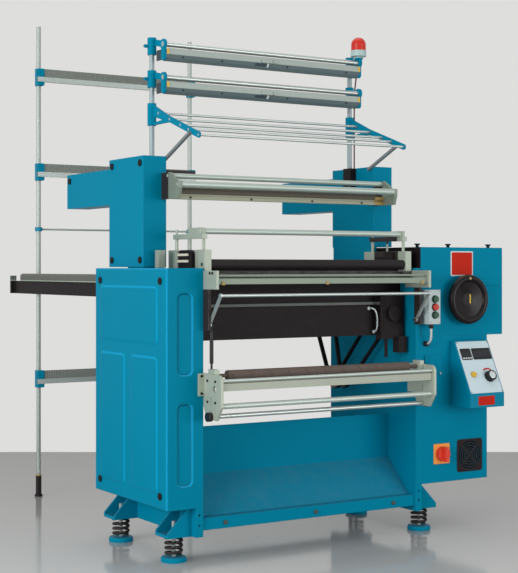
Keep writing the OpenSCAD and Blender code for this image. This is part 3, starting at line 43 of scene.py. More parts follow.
# Machine millimetres are measured from the left column's front left corner on the floor
CORNER = Vector((776.0, 837.5, 0.0))
BAY_MIDDLE = 627.5
POLE_X = 163.0

# Console: its lip, the slope of the panel above it, and the shares of the panel where its controls sit
CONSOLE_LEFT = 1283.0
CONSOLE_FRONT = -120.0
CONSOLE_WIDE = 175.0
CONSOLE_LIP = Vector((CONSOLE_LEFT, CONSOLE_FRONT, 546.0))
PANEL_RUN = 100.0
PANEL_RISE = 208.0
PANEL_UP = Vector((0.0, PANEL_RUN, PANEL_RISE)).normalized()
PANEL_OUT = Vector((0.0, -PANEL_RISE, PANEL_RUN)).normalized()
PANEL_HIGH = math.hypot(PANEL_RUN, PANEL_RISE)
PLATE_THICK = 2.0
DISPLAYS = ((0.075, 0.375), (0.41, 0.955))
DISPLAY_DOWN = 0.26
KEYS_DOWN = 0.335
DIAL_SHARES = (0.70, 0.69)
LAMP_BUTTON_SHARES = (0.25, 0.64)

# Stop-motion channels: their lowest edges, and the slope under each
CHANNEL_LOWS = (1828.5, 1703.5)
SLOPE_SPAN = (-0.5, 22.5)
SLOPE_Y = 334.1
SLOPE_UP = 16.1
SLOPE_OUT = (0.0, -0.804, -0.593)

# Rear rack: its poles, comb holders and thin rod, and the rings that clamp them
REAR_POLES = (197.5, 987.5)
REAR_BARS = (1916.1, 1483.0, 538.1)
REAR_ROD = 1222.0
RING_DEPTH = (1592.0, 1630.0)
RING_HALF = 17.5
BAR_RING_HALF = 39.2
ROD_RING_HALF = 9.2
TEETH_DEPTH = (1584.0, 1590.0)
TEETH_SPAN = (0.2, 40.0)


def spot(x, y, z):
    """A point of the machine, in metres of the shared frame."""
    return (Vector((x, y, z)) - CORNER) / 1000


def ink(red, green, blue):
    """A colour as it looks on screen, from 0 to 255, as the shader takes it."""
    def straight(part):
        part /= 255
        return part / 12.92 if part < 0.04045 else ((part + 0.055) / 1.055) ** 2.4
    return (straight(red), straight(green), straight(blue), 1.0)


# Camera: the photograph's frame and lens in its own pixels, and where it was taken from

PHOTO_WIDE = 518
PHOTO_HIGH = 573
FOCAL_PIXELS = 1347.3
HORIZON_ROW = 268.1
SENSOR_WIDE = 36.0
EYE = Vector((-2.9926, -4.9945, 1.044))
YAW = 32.0


def make_camera():
    lens = bpy.data.cameras.new("camera")
    lens.sensor_fit = "HORIZONTAL"
    lens.sensor_width = SENSOR_WIDE
    lens.lens = FOCAL_PIXELS / PHOTO_WIDE * SENSOR_WIDE
    lens.shift_y = -(PHOTO_HIGH / 2 - HORIZON_ROW) / PHOTO_WIDE
    lens.clip_end = 60.0
    camera = bpy.data.objects.new("camera", lens)
    camera.location = EYE
    camera.rotation_euler = (math.radians(90), 0.0, math.radians(-YAW))
    scene.collection.objects.link(camera)
    scene.camera = camera


make_camera()


# Shader maths

class Value:
    """One output of a shader node. Arithmetic on it adds Math nodes."""

    def __init__(self, graph, socket):
        self.graph = graph
        self.socket = socket

    def other(self, output):
        return Value(self.graph, self.socket.node.outputs[output])

    def math(self, operation, first, second=0.0):
        return self.graph.node("ShaderNodeMath", {"operation": operation}, {0: first, 1: second})

    def __add__(self, other):
        return self.math("ADD", self, other)

    __radd__ = __add__

    def __mul__(self, other):
        return self.math("MULTIPLY", self, other)

    __rmul__ = __mul__

    def __sub__(self, other):
        return self.math("SUBTRACT", self, other)

    def __rsub__(self, other):
        return self.math("SUBTRACT", other, self)

    def __truediv__(self, other):
        return self.math("DIVIDE", self, other)

    def __gt__(self, other):
        return self.math("GREATER_THAN", self, other)

    def __lt__(self, other):
        return self.math("LESS_THAN", self, other)

    def __or__(self, other):
        return self.math("MAXIMUM", self, other)

    def part(self):
        """What is left after whole turns are taken off."""
        return self.math("FRACT", self)

    def wave(self):
        return self.math("SINE", self)


class Graph:
    """The nodes of a material or of the world."""

    def __init__(self, owner):
        owner.use_nodes = True
        self.tree = owner.node_tree
        self.tree.nodes.clear()

    def node(self, kind, settings=None, inputs=None, output=0):
        """Any node: its settings first, then the values or links of its sockets."""
        made = self.tree.nodes.new(kind)
        for name, setting in (settings or {}).items():
            setattr(made, name, setting)
        for key, value in (inputs or {}).items():
            if isinstance(value, Value):
                self.tree.links.new(value.socket, made.inputs[key])
            else:
                made.inputs[key].default_value = value
        return Value(self, made.outputs[output]) if made.outputs else None


class Paint(Graph):
    """A procedural material as it is built."""

    def __init__(self, name):
        self.material = bpy.data.materials.new(name)
        super().__init__(self.material)
        self.place = self.node("ShaderNodeTexCoord", output="Object")
        self.x = self.node("ShaderNodeSeparateXYZ", inputs={0: self.place})
        self.y, self.z = self.x.other(1), self.x.other(2)

    def mix(self, mask, under, over):
        settings = {"data_type": "RGBA", "blend_type": "MIX"}
        return self.node("ShaderNodeMix", settings, {0: mask, 6: under, 7: over}, 2)

    def shade(self, colour, factor):
        """The colour made darker or lighter by a factor near 1."""
        grey = self.node("ShaderNodeCombineXYZ", inputs={0: factor, 1: factor, 2: factor})
        settings = {"data_type": "RGBA", "blend_type": "MULTIPLY"}
        return self.node("ShaderNodeMix", settings, {0: 1.0, 6: colour, 7: grey}, 2)

    def stretched(self, by):
        return self.node("ShaderNodeVectorMath", {"operation": "MULTIPLY"}, {0: self.place, 1: by})

    def noise(self, scale, detail=3.0, by=(1.0, 1.0, 1.0)):
        inputs = {"Vector": self.stretched(by), "Scale": scale, "Detail": detail}
        return self.node("ShaderNodeTexNoise", inputs=inputs)

    def cells(self, scale):
        return self.node("ShaderNodeTexVoronoi", inputs={"Vector": self.place, "Scale": scale})

    def inside(self, x=None, y=None, z=None):
        """1 between the limits given, in machine millimetres, and 0 outside them."""
        mask = 1.0
        for along, limits, start in zip((self.x, self.y, self.z), (x, y, z), CORNER):
            if limits:
                low, high = ((limit - start) / 1000 for limit in limits)
                mask = mask * (along > low) * (along < high)
        return mask

    def coated(self, colour, areas):
        """The colour with others laid over parts of it, and how bare it still is."""
        bare = 1.0
        for covers, other in areas:
            mask = covers(self)
            colour = self.mix(mask, colour, other)
            bare = bare * (1.0 - mask)
        return colour, bare

    def soft_corner(self, radius):
        """The surface's direction with its sharp edges rounded off."""
        return self.node("ShaderNodeBevel", {"samples": 4}, {"Radius": radius})

    def wear_and_highlight_edge(self, corner, strength):
        """How close to an edge the surface is, from 0 to strength; edges are painted lighter by it, partly as
        wear and partly as painted highlight.
        """
        plain = self.node("ShaderNodeNewGeometry", output="True Normal")
        turn = self.node("ShaderNodeVectorMath", {"operation": "DOT_PRODUCT"}, {0: corner, 1: plain}, 1)
        span = {"From Min": 0.0, "From Max": 0.3, "To Min": 0.0, "To Max": strength}
        return self.node("ShaderNodeMapRange", {"clamp": True}, {"Value": 1.0 - turn, **span})

    def leaning(self, way):
        """How far the surface leans towards a direction, from 0 to 0.6."""
        plain = self.node("ShaderNodeNewGeometry", output="Normal")
        turn = self.node("ShaderNodeVectorMath", {"operation": "DOT_PRODUCT"}, {0: plain, 1: way}, 1)
        span = {"From Min": 0.1, "From Max": 0.34, "To Min": 0.0, "To Max": 0.6}
        return self.node("ShaderNodeMapRange", {"clamp": True}, {"Value": turn, **span})

    def dusty(self, colour, amount):
        """A little dust on what faces up."""
        plain = self.node("ShaderNodeNewGeometry", output="True Normal")
        up = self.node("ShaderNodeSeparateXYZ", inputs={0: plain}).other(2)
        return self.mix((up > 0.6) * self.noise(25.0, 4.0) * amount, colour, DUST)

    def relief(self, height, depth, strength=1.0, corner=None):
        inputs = {"Height": height, "Distance": depth, "Strength": strength}
        if corner is not None:
            inputs["Normal"] = corner
        return self.node("ShaderNodeBump", inputs=inputs)

    def done(self, colour, roughness, metallic=0.0, normal=None, **fixed):
        inputs = {"Base Color": colour, "Roughness": roughness, "Metallic": metallic}
        for name, value in fixed.items():
            inputs[name.replace("_", " ")] = value
        if normal is not None:
            inputs["Normal"] = normal
        shader = self.node("ShaderNodeBsdfPrincipled", inputs=inputs)
        self.node("ShaderNodeOutputMaterial", inputs={"Surface": shader})
        return self.material


# Colours of paint and plastic
BLUE = ink(0, 133, 165)
# EDGE_BLUE: edges painted lighter, partly as wear and partly as painted highlight
EDGE_BLUE = ink(70, 172, 200)
# Painted highlight: a lighter blue for pressed slopes that lean towards the light
PAINTED_HIGHLIGHT_BLUE = ink(24, 168, 222)
BLACK = ink(32, 26, 28)
DEEP_BLACK = ink(20, 18, 19)
GRILLE_BLACK = ink(50, 42, 43)
WHEEL_BLACK = ink(26, 22, 22)
TIE_BLACK = ink(28, 23, 24)
IVORY = ink(218, 214, 196)
RED = ink(198, 46, 32)
SWITCH_RED = ink(232, 64, 44)
LENS_RED = ink(208, 48, 34)
ORANGE = ink(252, 166, 84)
YELLOW = ink(222, 184, 60)
START_GREEN = ink(26, 82, 54)
JOG_GREEN = ink(22, 72, 48)
WHITE = ink(212, 220, 220)
PLATE_WHITE = ink(208, 227, 233)
BOX_GREY = ink(188, 203, 204)
SOCKET_GREY = ink(172, 197, 195)
LEAD_GREY = ink(196, 202, 200)
LEAD_BROWN = ink(104, 66, 62)
SWITCH_SLATE = ink(66, 78, 84)
GLASS_DARK = ink(18, 22, 26)
GLASS_PALE = ink(38, 44, 50)

# Colours of metal, abrasive cloth and dust
IRON = ink(46, 40, 40)
ALLOY = ink(168, 178, 164)
PALE_ALLOY = ink(158, 168, 163)
OLIVE_ALLOY = ink(148, 151, 131)
WEFT_ALLOY = ink(132, 144, 131)
TAKEUP_ALLOY = ink(180, 189, 174)
FLAT_BAR_ALLOY = ink(170, 177, 161)
CHANNEL_PAINTED_SHADE = ink(106, 121, 124)
UMBER = ink(86, 82, 70)
BOLT_OLIVE = ink(84, 88, 80)
STEEL = ink(176, 184, 181)
ROLLER_STEEL = ink(178, 192, 183)
POLE_STEEL = ink(152, 166, 170)
RAIL_STEEL = ink(142, 155, 140)
TAKEUP_STEEL = ink(186, 198, 190)
REAR_STEEL = ink(166, 175, 171)
SILVER = ink(214, 222, 224)
CHROME = ink(182, 190, 187)
GREY = ink(112, 116, 111)
SLATE = ink(128, 136, 138)
MOTOR_GREY = ink(128, 136, 134)
TEETH_GREY = ink(122, 128, 121)
TIE_GREY = ink(100, 104, 98)
COMB_GREY = ink(70, 66, 66)
# Painted shadow: the dark strip under the take-up's guide rod
ROD_SHADOW_GREY = ink(104, 106, 96)
BED_STEEL = ink(120, 124, 120)
BED_OIL = ink(44, 40, 41)
BRASS = ink(176, 150, 92)
GRIT_DARK = ink(86, 74, 68)
GRIT_PALE = ink(126, 113, 105)
GRIT_SEAM = ink(50, 42, 39)
DUST = ink(150, 148, 142)

# Colours of the studio
# Floor tones: painted light near the camera, painted shade far from it
FLOOR_LIT_NEAR = ink(206, 206, 204)
FLOOR_SHADED_FAR = ink(96, 96, 95)
BACKDROP = ink(222, 222, 220)
LIGHT = (1.0, 1.0, 1.0, 1.0)

FRONT = (0.0, -1.0, 0.0)
BACK = (0.0, 1.0, 0.0)
LEFT = (-1.0, 0.0, 0.0)
RIGHT = (1.0, 0.0, 0.0)
UP = (0.0, 0.0, 1.0)
DOWN = (0.0, 0.0, -1.0)


# Finishes

def enamel(name, colour=BLUE, areas=(), gloss=0.3, edge=EDGE_BLUE, corner=0.004, highlight_ways=()):
    """Sprayed enamel: orange peel, drift in tone, edges painted lighter (partly wear, partly painted
    highlight) and a painted highlight on slopes that lean towards the given ways.
    """
    paint = Paint(name)
    tone, _ = paint.coated(colour, areas)
    tone = paint.shade(tone, 0.95 + 0.1 * paint.noise(3.0, 2.0))
    # Painted highlight: slopes that lean towards the given ways are painted a lighter blue.
    for way in highlight_ways:
        tone = paint.mix(paint.leaning(way), tone, PAINTED_HIGHLIGHT_BLUE)
    rounded = paint.soft_corner(corner)
    tone = paint.mix(paint.wear_and_highlight_edge(rounded, 0.28), tone, edge)
    tone = paint.dusty(tone, 0.12)
    peel = paint.relief(paint.noise(420.0, 2.0), 0.0003, 0.2, rounded)
    return paint.done(tone, gloss + 0.14 * paint.noise(60.0), 0.0, peel, Specular_IOR_Level=0.02)


def casting(name, colour=BLACK, areas=(), gloss=0.42, shine=0.12):
    """Black paint over a cast skin: fine pits, grey bloom and edges painted grey, partly as wear and partly as
    painted highlight.
    """
    paint = Paint(name)
    tone, _ = paint.coated(colour, areas)
    tone = paint.shade(tone, 0.85 + 0.3 * paint.noise(14.0, 4.0))
    rounded = paint.soft_corner(0.003)
    tone = paint.mix(paint.wear_and_highlight_edge(rounded, 0.2), tone, GREY)
    tone = paint.dusty(tone, 0.1)
    pits = paint.relief(paint.noise(380.0, 4.0), 0.0006, 0.3, rounded)
    return paint.done(tone, gloss + 0.2 * paint.noise(90.0), 0.0, pits, Specular_IOR_Level=shine)


GRAIN = {"x": (6.0, 700.0, 700.0), "y": (700.0, 6.0, 700.0), "z": (700.0, 700.0, 6.0)}


def machined(name, colour, along="x", areas=(), gloss=0.36, metal=0.3, wear=0.14):
    """Bare metal with its tool lines along one axis, a few stains and edges painted bright, partly as wear and
    partly as painted highlight.
    """
    paint = Paint(name)
    lines = paint.noise(1.0, 3.0, GRAIN[along])
    stain = paint.noise(9.0, 5.0)
    tone, bare = paint.coated(colour, areas)
    tone = paint.shade(tone, 1.0 - wear + wear * lines + wear * stain)
    rounded = paint.soft_corner(0.002)
    tone = paint.mix(paint.wear_and_highlight_edge(rounded, 0.25), tone, WHITE)
    rough = gloss + 0.14 * lines + 0.1 * stain
    return paint.done(tone, rough, metal * bare, paint.relief(lines, 0.00005, 0.15, rounded),
                      Specular_IOR_Level=0.2)


def turned_bar(name, colour=CHROME, areas=(), gloss=0.2, metal=0.6, shine=0.5):
    """Ground and polished bar: a faint drift in tone and a trace of oil."""
    paint = Paint(name)
    tone, bare = paint.coated(colour, areas)
    oil = paint.noise(16.0, 4.0)
    tone = paint.shade(tone, 0.93 + 0.12 * oil)
    scratches = paint.noise(1.0, 2.0, (60.0, 900.0, 900.0))
    return paint.done(tone, gloss + 0.08 * scratches + 0.12 * oil, metal * bare, Specular_IOR_Level=shine)


def rubber(name, colour=BLACK, gloss=0.55):
    """Ground rubber: fine grey grain and dull gloss."""
    paint = Paint(name)
    grain = paint.noise(700.0, 3.0)
    tone = paint.shade(colour, 0.7 + 0.4 * grain + 0.2 * paint.noise(8.0))
    return paint.done(tone, gloss + 0.2 * grain, 0.0, paint.relief(grain, 0.0004, 0.3),
                      Specular_IOR_Level=0.25)


def grit_cover(name, y, z, pitch=0.08):
    """Brown abrasive cloth wound round a roller in a spiral, with its seam."""
    paint = Paint(name)
    middle = spot(0.0, y, z)
    angle = paint.y.math("ARCTAN2", paint.y - middle.y, paint.z - middle.z)
    turn = (angle / math.tau + paint.x / pitch).part()
    seam = (turn < 0.03) * 0.6
    grit = paint.cells(1500.0)
    tone = paint.mix(grit, GRIT_DARK, GRIT_PALE)
    tone = paint.shade(tone, 0.85 + 0.3 * paint.noise(18.0, 4.0))
    tone = paint.mix(seam, tone, GRIT_SEAM)
    height = grit * 0.6 - seam
    return paint.done(tone, 0.86 + 0.1 * grit, 0.0, paint.relief(height, 0.0008, 0.5),
                      Specular_IOR_Level=0.2)


def moulded(name, colour, areas=(), gloss=0.3, shine=0.3):
    """Moulded plastic with a fine spark texture."""
    paint = Paint(name)
    tone, _ = paint.coated(colour, areas)
    tone = paint.shade(tone, 0.93 + 0.14 * paint.noise(30.0, 3.0))
    rounded = paint.soft_corner(0.0015)
    # Edges painted white, partly as wear and partly as painted highlight.
    tone = paint.mix(paint.wear_and_highlight_edge(rounded, 0.15), tone, WHITE)
    spark = paint.relief(paint.noise(900.0, 2.0), 0.0002, 0.25, rounded)
    return paint.done(tone, gloss + 0.15 * paint.noise(140.0), 0.0, spark, Specular_IOR_Level=shine)


def lamp_lens(name):
    """Red lamp dome with fine moulded rings."""
    paint = Paint(name)
    rings = (paint.z * (math.tau / 0.0035)).wave()
    tone = paint.shade(LENS_RED, 0.94 + 0.05 * rings + 0.1 * paint.noise(25.0))
    return paint.done(tone, 0.16 + 0.06 * paint.noise(60.0), 0.0, paint.relief(rings, 0.0004, 0.3),
                      Coat_Weight=0.12, Coat_Roughness=0.08, Specular_IOR_Level=0.2)


def sheath(name, colour):
    """Soft vinyl cable cover with slight handling marks."""
    paint = Paint(name)
    marks = paint.noise(60.0, 4.0)
    tone = paint.shade(colour, 0.85 + 0.3 * marks)
    return paint.done(tone, 0.4 + 0.2 * marks, 0.0, paint.relief(marks, 0.0004, 0.3))


def needle_row(name, pitch):
    """Steel bed with a dark slot at each needle and oil stains between them."""
    paint = Paint(name)
    slot = ((paint.x / pitch).part() < 0.42) * paint.inside(y=(-40.0, 62.5))
    grain = paint.noise(1.0, 3.0, GRAIN["y"])
    stain = paint.noise(40.0, 5.0)
    tone = paint.mix(stain, BED_OIL, BED_STEEL)
    tone = paint.mix(slot * 0.75, paint.shade(tone, 0.8 + 0.3 * grain), DEEP_BLACK)
    return paint.done(tone, 0.35 + 0.2 * grain, 0.4, paint.relief(1.0 - slot, 0.0005, 0.4))


def window_glass(name):
    """Dark display glass with a slow drift in tone."""
    paint = Paint(name)
    tone = paint.mix(paint.noise(30.0), GLASS_DARK, GLASS_PALE)
    return paint.done(tone, 0.1 + 0.06 * paint.noise(200.0), 0.0, Specular_IOR_Level=0.4)


def panel_sheet(name):
    """Console paint with its pale control plate."""
    paint = Paint(name)
    lip = spot(*CONSOLE_LIP)
    plate = (paint.y - lip.y) * PANEL_OUT.y + (paint.z - lip.z) * PANEL_OUT.z > 0.0003
    tone = paint.mix(plate, BLUE, PLATE_WHITE)
    tone = paint.shade(tone, 0.96 + 0.08 * paint.noise(5.0))
    rounded = paint.soft_corner(0.003)
    # Edges painted a lighter blue, partly as wear and partly as painted highlight.
    tone = paint.mix(paint.wear_and_highlight_edge(rounded, 0.25), tone, EDGE_BLUE)
    peel = paint.relief(paint.noise(420.0, 2.0), 0.0003, 0.2, rounded)
    return paint.done(tone, 0.34 + 0.12 * paint.noise(50.0), 0.0, peel, Specular_IOR_Level=0.08)


def area(x=None, y=None, z=None):
    """A part of a piece, between limits in machine millimetres."""
    return lambda paint: paint.inside(x, y, z)


def rear_rings(paint):
    """The clamp rings on both rear poles."""
    left, right = (paint.inside(x=(x - RING_HALF, x + RING_HALF), y=RING_DEPTH) for x in REAR_POLES)
    heights = paint.inside(z=(REAR_ROD - ROD_RING_HALF, REAR_ROD + ROD_RING_HALF))
    for bar in REAR_BARS:
        heights = heights | paint.inside(z=(bar - BAR_RING_HALF, bar + BAR_RING_HALF))
    return (left | right) * heights


def rear_teeth(paint):
    """The teeth that stand out of the rear comb holders."""
    low, high = TEETH_SPAN
    one, two, three = (paint.inside(z=(bar + low, bar + high)) for bar in REAR_BARS)
    return (one | two | three) * paint.inside(y=TEETH_DEPTH)


def channel_slope(paint):
    """The lower, sloping half of both stop-motion channels, which faces down and is painted darker as painted
    shade.
    """
    low, high = SLOPE_SPAN
    one, two = (paint.inside(z=(edge + low, edge + high)) for edge in CHANNEL_LOWS)
    return one | two


# Parts of pieces painted in another colour; some of them carry painted shade, noted where their finish is
# given
switch_plate = area(x=(1194.0, 1276.0), y=(-60.0, -0.2), z=(266.0, 348.0))
grille_face = area(x=(1314.0, 1447.0), y=(-60.0, -0.2), z=(225.0, 358.0))
grille_slots = area(x=(1314.0, 1447.0), y=(0.2, 2.8), z=(225.0, 358.0))
gearbox_inner_wall = area(x=(1100.0, 1131.0))
gearbox_plugs = area(z=(1127.3, 1200.0))
pad_studs = area(z=(17.3, 400.0))
rail_bolts = area(z=(0.0, 200.0))
weft_arms = area(y=(225.0, 400.0))
weft_rail_top = area(z=(1319.0, 1340.0))
weft_rail_end = area(x=(1068.0, 1200.0))
right_stand_body = area(x=(1060.0, 1074.2), y=(61.2, 216.8))
right_crosshead_arm = area(x=(1000.0, 1200.0), y=(72.0, 400.0), z=(1140.0, 1168.4))
left_slide_bars = area(x=(100.0, 164.8))
right_slide_bars = area(x=(1090.2, 1200.0))
right_slide_face = area(x=(1000.0, 1057.8))
rail_clips = area(y=(-90.0, -80.2))
rail_bracket_legs = area(z=(500.0, 968.6))
beam_lip = area(y=(60.0, 101.0), z=(900.5, 911.5))
takeup_flat_bar = area(y=(-113.4, -106.6), z=(613.6, 640.4))
left_tension_knob = area(x=(120.0, 147.8))
right_tension_knob = area(x=(1107.2, 1130.0))
button_collars = area(y=(-90.0, -60.3))
pole_sleeves = area(z=(-5.0, 94.0))
sleeve_collars = area(z=(94.0, 101.3))
tie_rails = area(z=(985.2, 1100.0))
tie_rail_feet = area(z=(985.2, 989.0))

NEEDLE_PITCH = 0.0055
TAKEUP_AXIS = (-40.0, 663.0)

blue_enamel = enamel("blue_enamel")
chrome_bar = turned_bar("chrome_bar")
roller_bar = turned_bar("roller_bar", ROLLER_STEEL, gloss=0.3, metal=0.3)

finishes = {
    "left_column": blue_enamel,
    # Painted highlight: the cover's slopes that face front and up are painted a lighter blue.
    "left_end_cover": enamel("cover_enamel", highlight_ways=(FRONT, UP)),
    "right_side_frame": blue_enamel,
    "electric_cabinet": enamel("cabinet_enamel", areas=[
        (switch_plate, ORANGE), (grille_face, GRILLE_BLACK), (grille_slots, GRILLE_BLACK)]),
    "cabinet_hatch": blue_enamel,
    "gearbox_housing": enamel("gearbox_enamel", areas=[(gearbox_inner_wall, BLACK), (gearbox_plugs, BLACK)]),
    "base_frame": blue_enamel,
    "tray_panel": blue_enamel,
    "foot_springs": machined("spring_wire", IRON, "z", gloss=0.4),
    "foot_pads": enamel("pad_enamel", areas=[(pad_studs, STEEL)]),
    "left_upper_column": blue_enamel,
    "right_upper_column": blue_enamel,
    "cover_screws": casting("screw_black", DEEP_BLACK, [(rail_bolts, BOLT_OLIVE)]),
    "front_poles": turned_bar("pole_chrome", POLE_STEEL, gloss=0.34, metal=0.35, shine=0.2),
    "pole_clamps": casting("black_casting"),
    "stop_motion_brackets": blue_enamel,
    "stop_motion_rods": chrome_bar,
    # Painted shade: the channels' downward-facing slopes are painted darker.
    "stop_motion_channels": machined("channel_alloy", PALE_ALLOY, "x", [(channel_slope, CHANNEL_PAINTED_SHADE)]),
    "rack_brackets": blue_enamel,
    "guide_rods": chrome_bar,
    "rack_struts": machined("strut_steel", SLATE, "z", gloss=0.4, metal=0.2),
    "beacon_base": moulded("beacon_socket", SOCKET_GREY),
    "beacon_dome": lamp_lens("beacon_lens"),
    "weft_brackets": machined("weft_bracket_alloy", WEFT_ALLOY, "y", [(weft_arms, IRON)], wear=0.24),
    # The rail's top is painted umber: partly its dark top, partly a painted shadow under the weft rollers.
    "weft_rail_bar": machined("weft_rail", OLIVE_ALLOY, "x", [(weft_rail_top, UMBER), (weft_rail_end, BRASS)],
                              wear=0.26),
    "weft_roller_front": roller_bar,
    "weft_roller_rear": roller_bar,
    "presser_stands": machined("stand_alloy", ALLOY, "z", [(right_stand_body, IRON)], wear=0.26),
    "presser_crossheads": machined("crosshead_alloy", ALLOY, "y", [(right_crosshead_arm, IRON)], wear=0.26),
    "presser_roller": roller_bar,
    "slide_blocks": casting("slide_black", BLACK, [
        (left_slide_bars, IVORY), (right_slide_bars, IVORY), (right_slide_face, GREY)]),
    "needle_bed": needle_row("needle_bed_steel", NEEDLE_PITCH / 2),
    "needle_bar": needle_row("needle_bar_steel", NEEDLE_PITCH),
    "feed_roller": rubber("feed_rubber"),
    "front_rail": turned_bar("front_rail_bar", RAIL_STEEL, [(rail_clips, BRASS)], gloss=0.34, metal=0.1,
                             shine=0.15),
    # The lower legs are painted dark iron: partly dark link parts, partly painted shade where the legs lie in
    # shadow.
    "rail_brackets": machined("rail_bracket_alloy", ALLOY, "z", [(rail_bracket_legs, IRON)], wear=0.24),
    "stop_bar": chrome_bar,
    "main_beam": casting("beam_black", BLACK, [(beam_lip, GREY)]),
    "main_shaft": chrome_bar,
    "head_pulley": machined("pulley_alloy", GREY, "x"),
    "drive_belts": rubber("belt_rubber", DEEP_BLACK, 0.6),
    "drive_motor": machined("motor_shell", MOTOR_GREY, "x", gloss=0.4),
    "motor_pulley": machined("dark_steel", GREY, "z", gloss=0.4),
    "takeup_plates": machined("takeup_alloy", TAKEUP_ALLOY, "z", wear=0.24),
    "takeup_roller": grit_cover("grit_cloth", *TAKEUP_AXIS),
    "takeup_bars": turned_bar("takeup_bar", TAKEUP_STEEL, [(takeup_flat_bar, FLAT_BAR_ALLOY)], gloss=0.28,
                              metal=0.35),
    "tension_bar": turned_bar("tension_steel", CHROME, [
        (left_tension_knob, BLACK), (right_tension_knob, BLACK)]),
    "button_box": moulded("button_box_shell", BOX_GREY, [(button_collars, DEEP_BLACK)]),
    "start_button": moulded("start_green", START_GREEN),
    "stop_button": moulded("stop_red", RED),
    "jog_button": moulded("jog_green", JOG_GREEN),
    "button_cable": sheath("button_lead", LEAD_GREY),
    "handwheel": casting("wheel_black", WHEEL_BLACK, gloss=0.14, shine=0.16),
    "handwheel_shaft": chrome_bar,
    "control_console": panel_sheet("console_sheet"),
    "speed_knob": moulded("dial_black", DEEP_BLACK),
    "console_button": moulded("lamp_yellow", YELLOW),
    "main_switch_knob": moulded("switch_red", SWITCH_RED),
    "rear_rack": turned_bar("rear_steel", REAR_STEEL, [
        (rear_teeth, TEETH_GREY), (rear_rings, BLUE), (pole_sleeves, BLACK), (sleeve_collars, BRASS)],
                            gloss=0.26, metal=0.4, shine=0.2),
    "rear_ties": casting("tie_black", TIE_BLACK, [(tie_rails, TIE_GREY), (tie_rail_feet, ALLOY)]),
}
for name, finish in finishes.items():
    held = nodes[name]
    if not held.material_slots:
        held.data.materials.append(finish)
    for held_slot in held.material_slots:
        held_slot.material = finish


# Mesh tools

def facing(centre, out, up=UP):
    """A frame at a machine point whose Z points out and whose Y points up."""
    ahead = Vector(out).normalized()
    side = Vector(up).cross(ahead).normalized()
    frame_at = Matrix((side, ahead.cross(side), ahead)).transposed().to_4x4()
    frame_at.translation = spot(*centre)
    return frame_at


def ring(bm, at, points, height):
    return [bm.verts.new(at @ (Vector((x, y, height)) / 1000)) for x, y in points]


def sew(bm, low, high):
    for i in range(len(low)):
        j = (i + 1) % len(low)
        bm.faces.new((low[i], low[j], high[j], high[i]))


def round_corners(wide, high, corner):
    points = []
    for quarter, (sx, sy) in enumerate(((1, 1), (-1, 1), (-1, -1), (1, -1))):
        for step in range(6):
            angle = math.radians(90 * quarter + 18 * step)
            points.append((sx * (wide / 2 - corner) + corner * math.cos(angle),
                           sy * (high / 2 - corner) + corner * math.sin(angle)))
    return points


def slab(bm, at, wide, high, thick, corner, edge=0.4, start=0.0):
    """A plate with round corners and a small chamfer, standing on the frame's plane."""
    outer = round_corners(wide, high, corner)
    inner = round_corners(wide - 2 * edge, high - 2 * edge, max(corner - edge, 0.1))
    low = ring(bm, at, outer, start)
    mid = ring(bm, at, outer, start + thick - edge)
    top = ring(bm, at, inner, start + thick)
    sew(bm, low, mid)
    sew(bm, mid, top)
    bm.faces.new(low[::-1])
    bm.faces.new(top)


def turned(bm, at, profile, sides=32):
    """A turned piece: radius and height pairs, closed at both ends."""
    circle = [(math.cos(math.tau * i / sides), math.sin(math.tau * i / sides)) for i in range(sides)]
    rings = [ring(bm, at, [(r * c, r * s) for c, s in circle], h) for r, h in profile]
    for low, high in zip(rings, rings[1:]):
        sew(bm, low, high)
    bm.faces.new(rings[0][::-1])
    bm.faces.new(rings[-1])


def screw_head(bm, at, radius, tall):
    """A round head with a domed rim and a sunk middle."""
    turned(bm, at, [(radius, 0.0), (radius, tall * 0.6), (radius * 0.82, tall), (radius * 0.45, tall),
                    (radius * 0.38, tall * 0.45)], 20)


def arc_band(bm, at, inner, outer, start, end, thick):
    """A flat band bent round the frame's centre, angles in degrees."""
    steps = 24
    rows = []
    for i in range(steps + 1):
        angle = math.radians(start + (end - start) * i / steps)
        c, s = math.cos(angle), math.sin(angle)
        rows.append([bm.verts.new(at @ (Vector((r * c, r * s, h)) / 1000))
                     for r, h in ((inner, 0.0), (outer, 0.0), (outer, thick), (inner, thick))])
    for one, two in zip(rows, rows[1:]):
        sew(bm, one, two)
    bm.faces.new(rows[0])
    bm.faces.new(rows[-1][::-1])


def piece(name, bm, finish, body="machine"):
    bmesh.ops.recalc_face_normals(bm, faces=bm.faces)
    mesh = bpy.data.meshes.new(name)
    bm.to_mesh(mesh)
    bm.free()
    mesh.shade_smooth()
    mesh.set_sharp_from_angle(angle=math.radians(35))
    mesh.materials.append(finish)
    made = bpy.data.objects.new(name, mesh)
    scene.collection.objects.link(made)
    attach(made, body)
    return made


# Lamp lead down the right front pole

LEAD_BEND = [(1100.0, 364.0, 1917.0), (1100.0, 366.0, 1897.0), (1105.0, 384.0, 1866.0),
             (1113.0, 408.0, 1826.0), (1117.0, 421.0, 1784.0), (1117.0, 424.0, 1740.0)]
LEAD_X, LEAD_Y, _ = LEAD_BEND[-1]
LEAD_STRAIGHT = range(1710, 1461, -30)
LEAD_FOOT = 1461.0


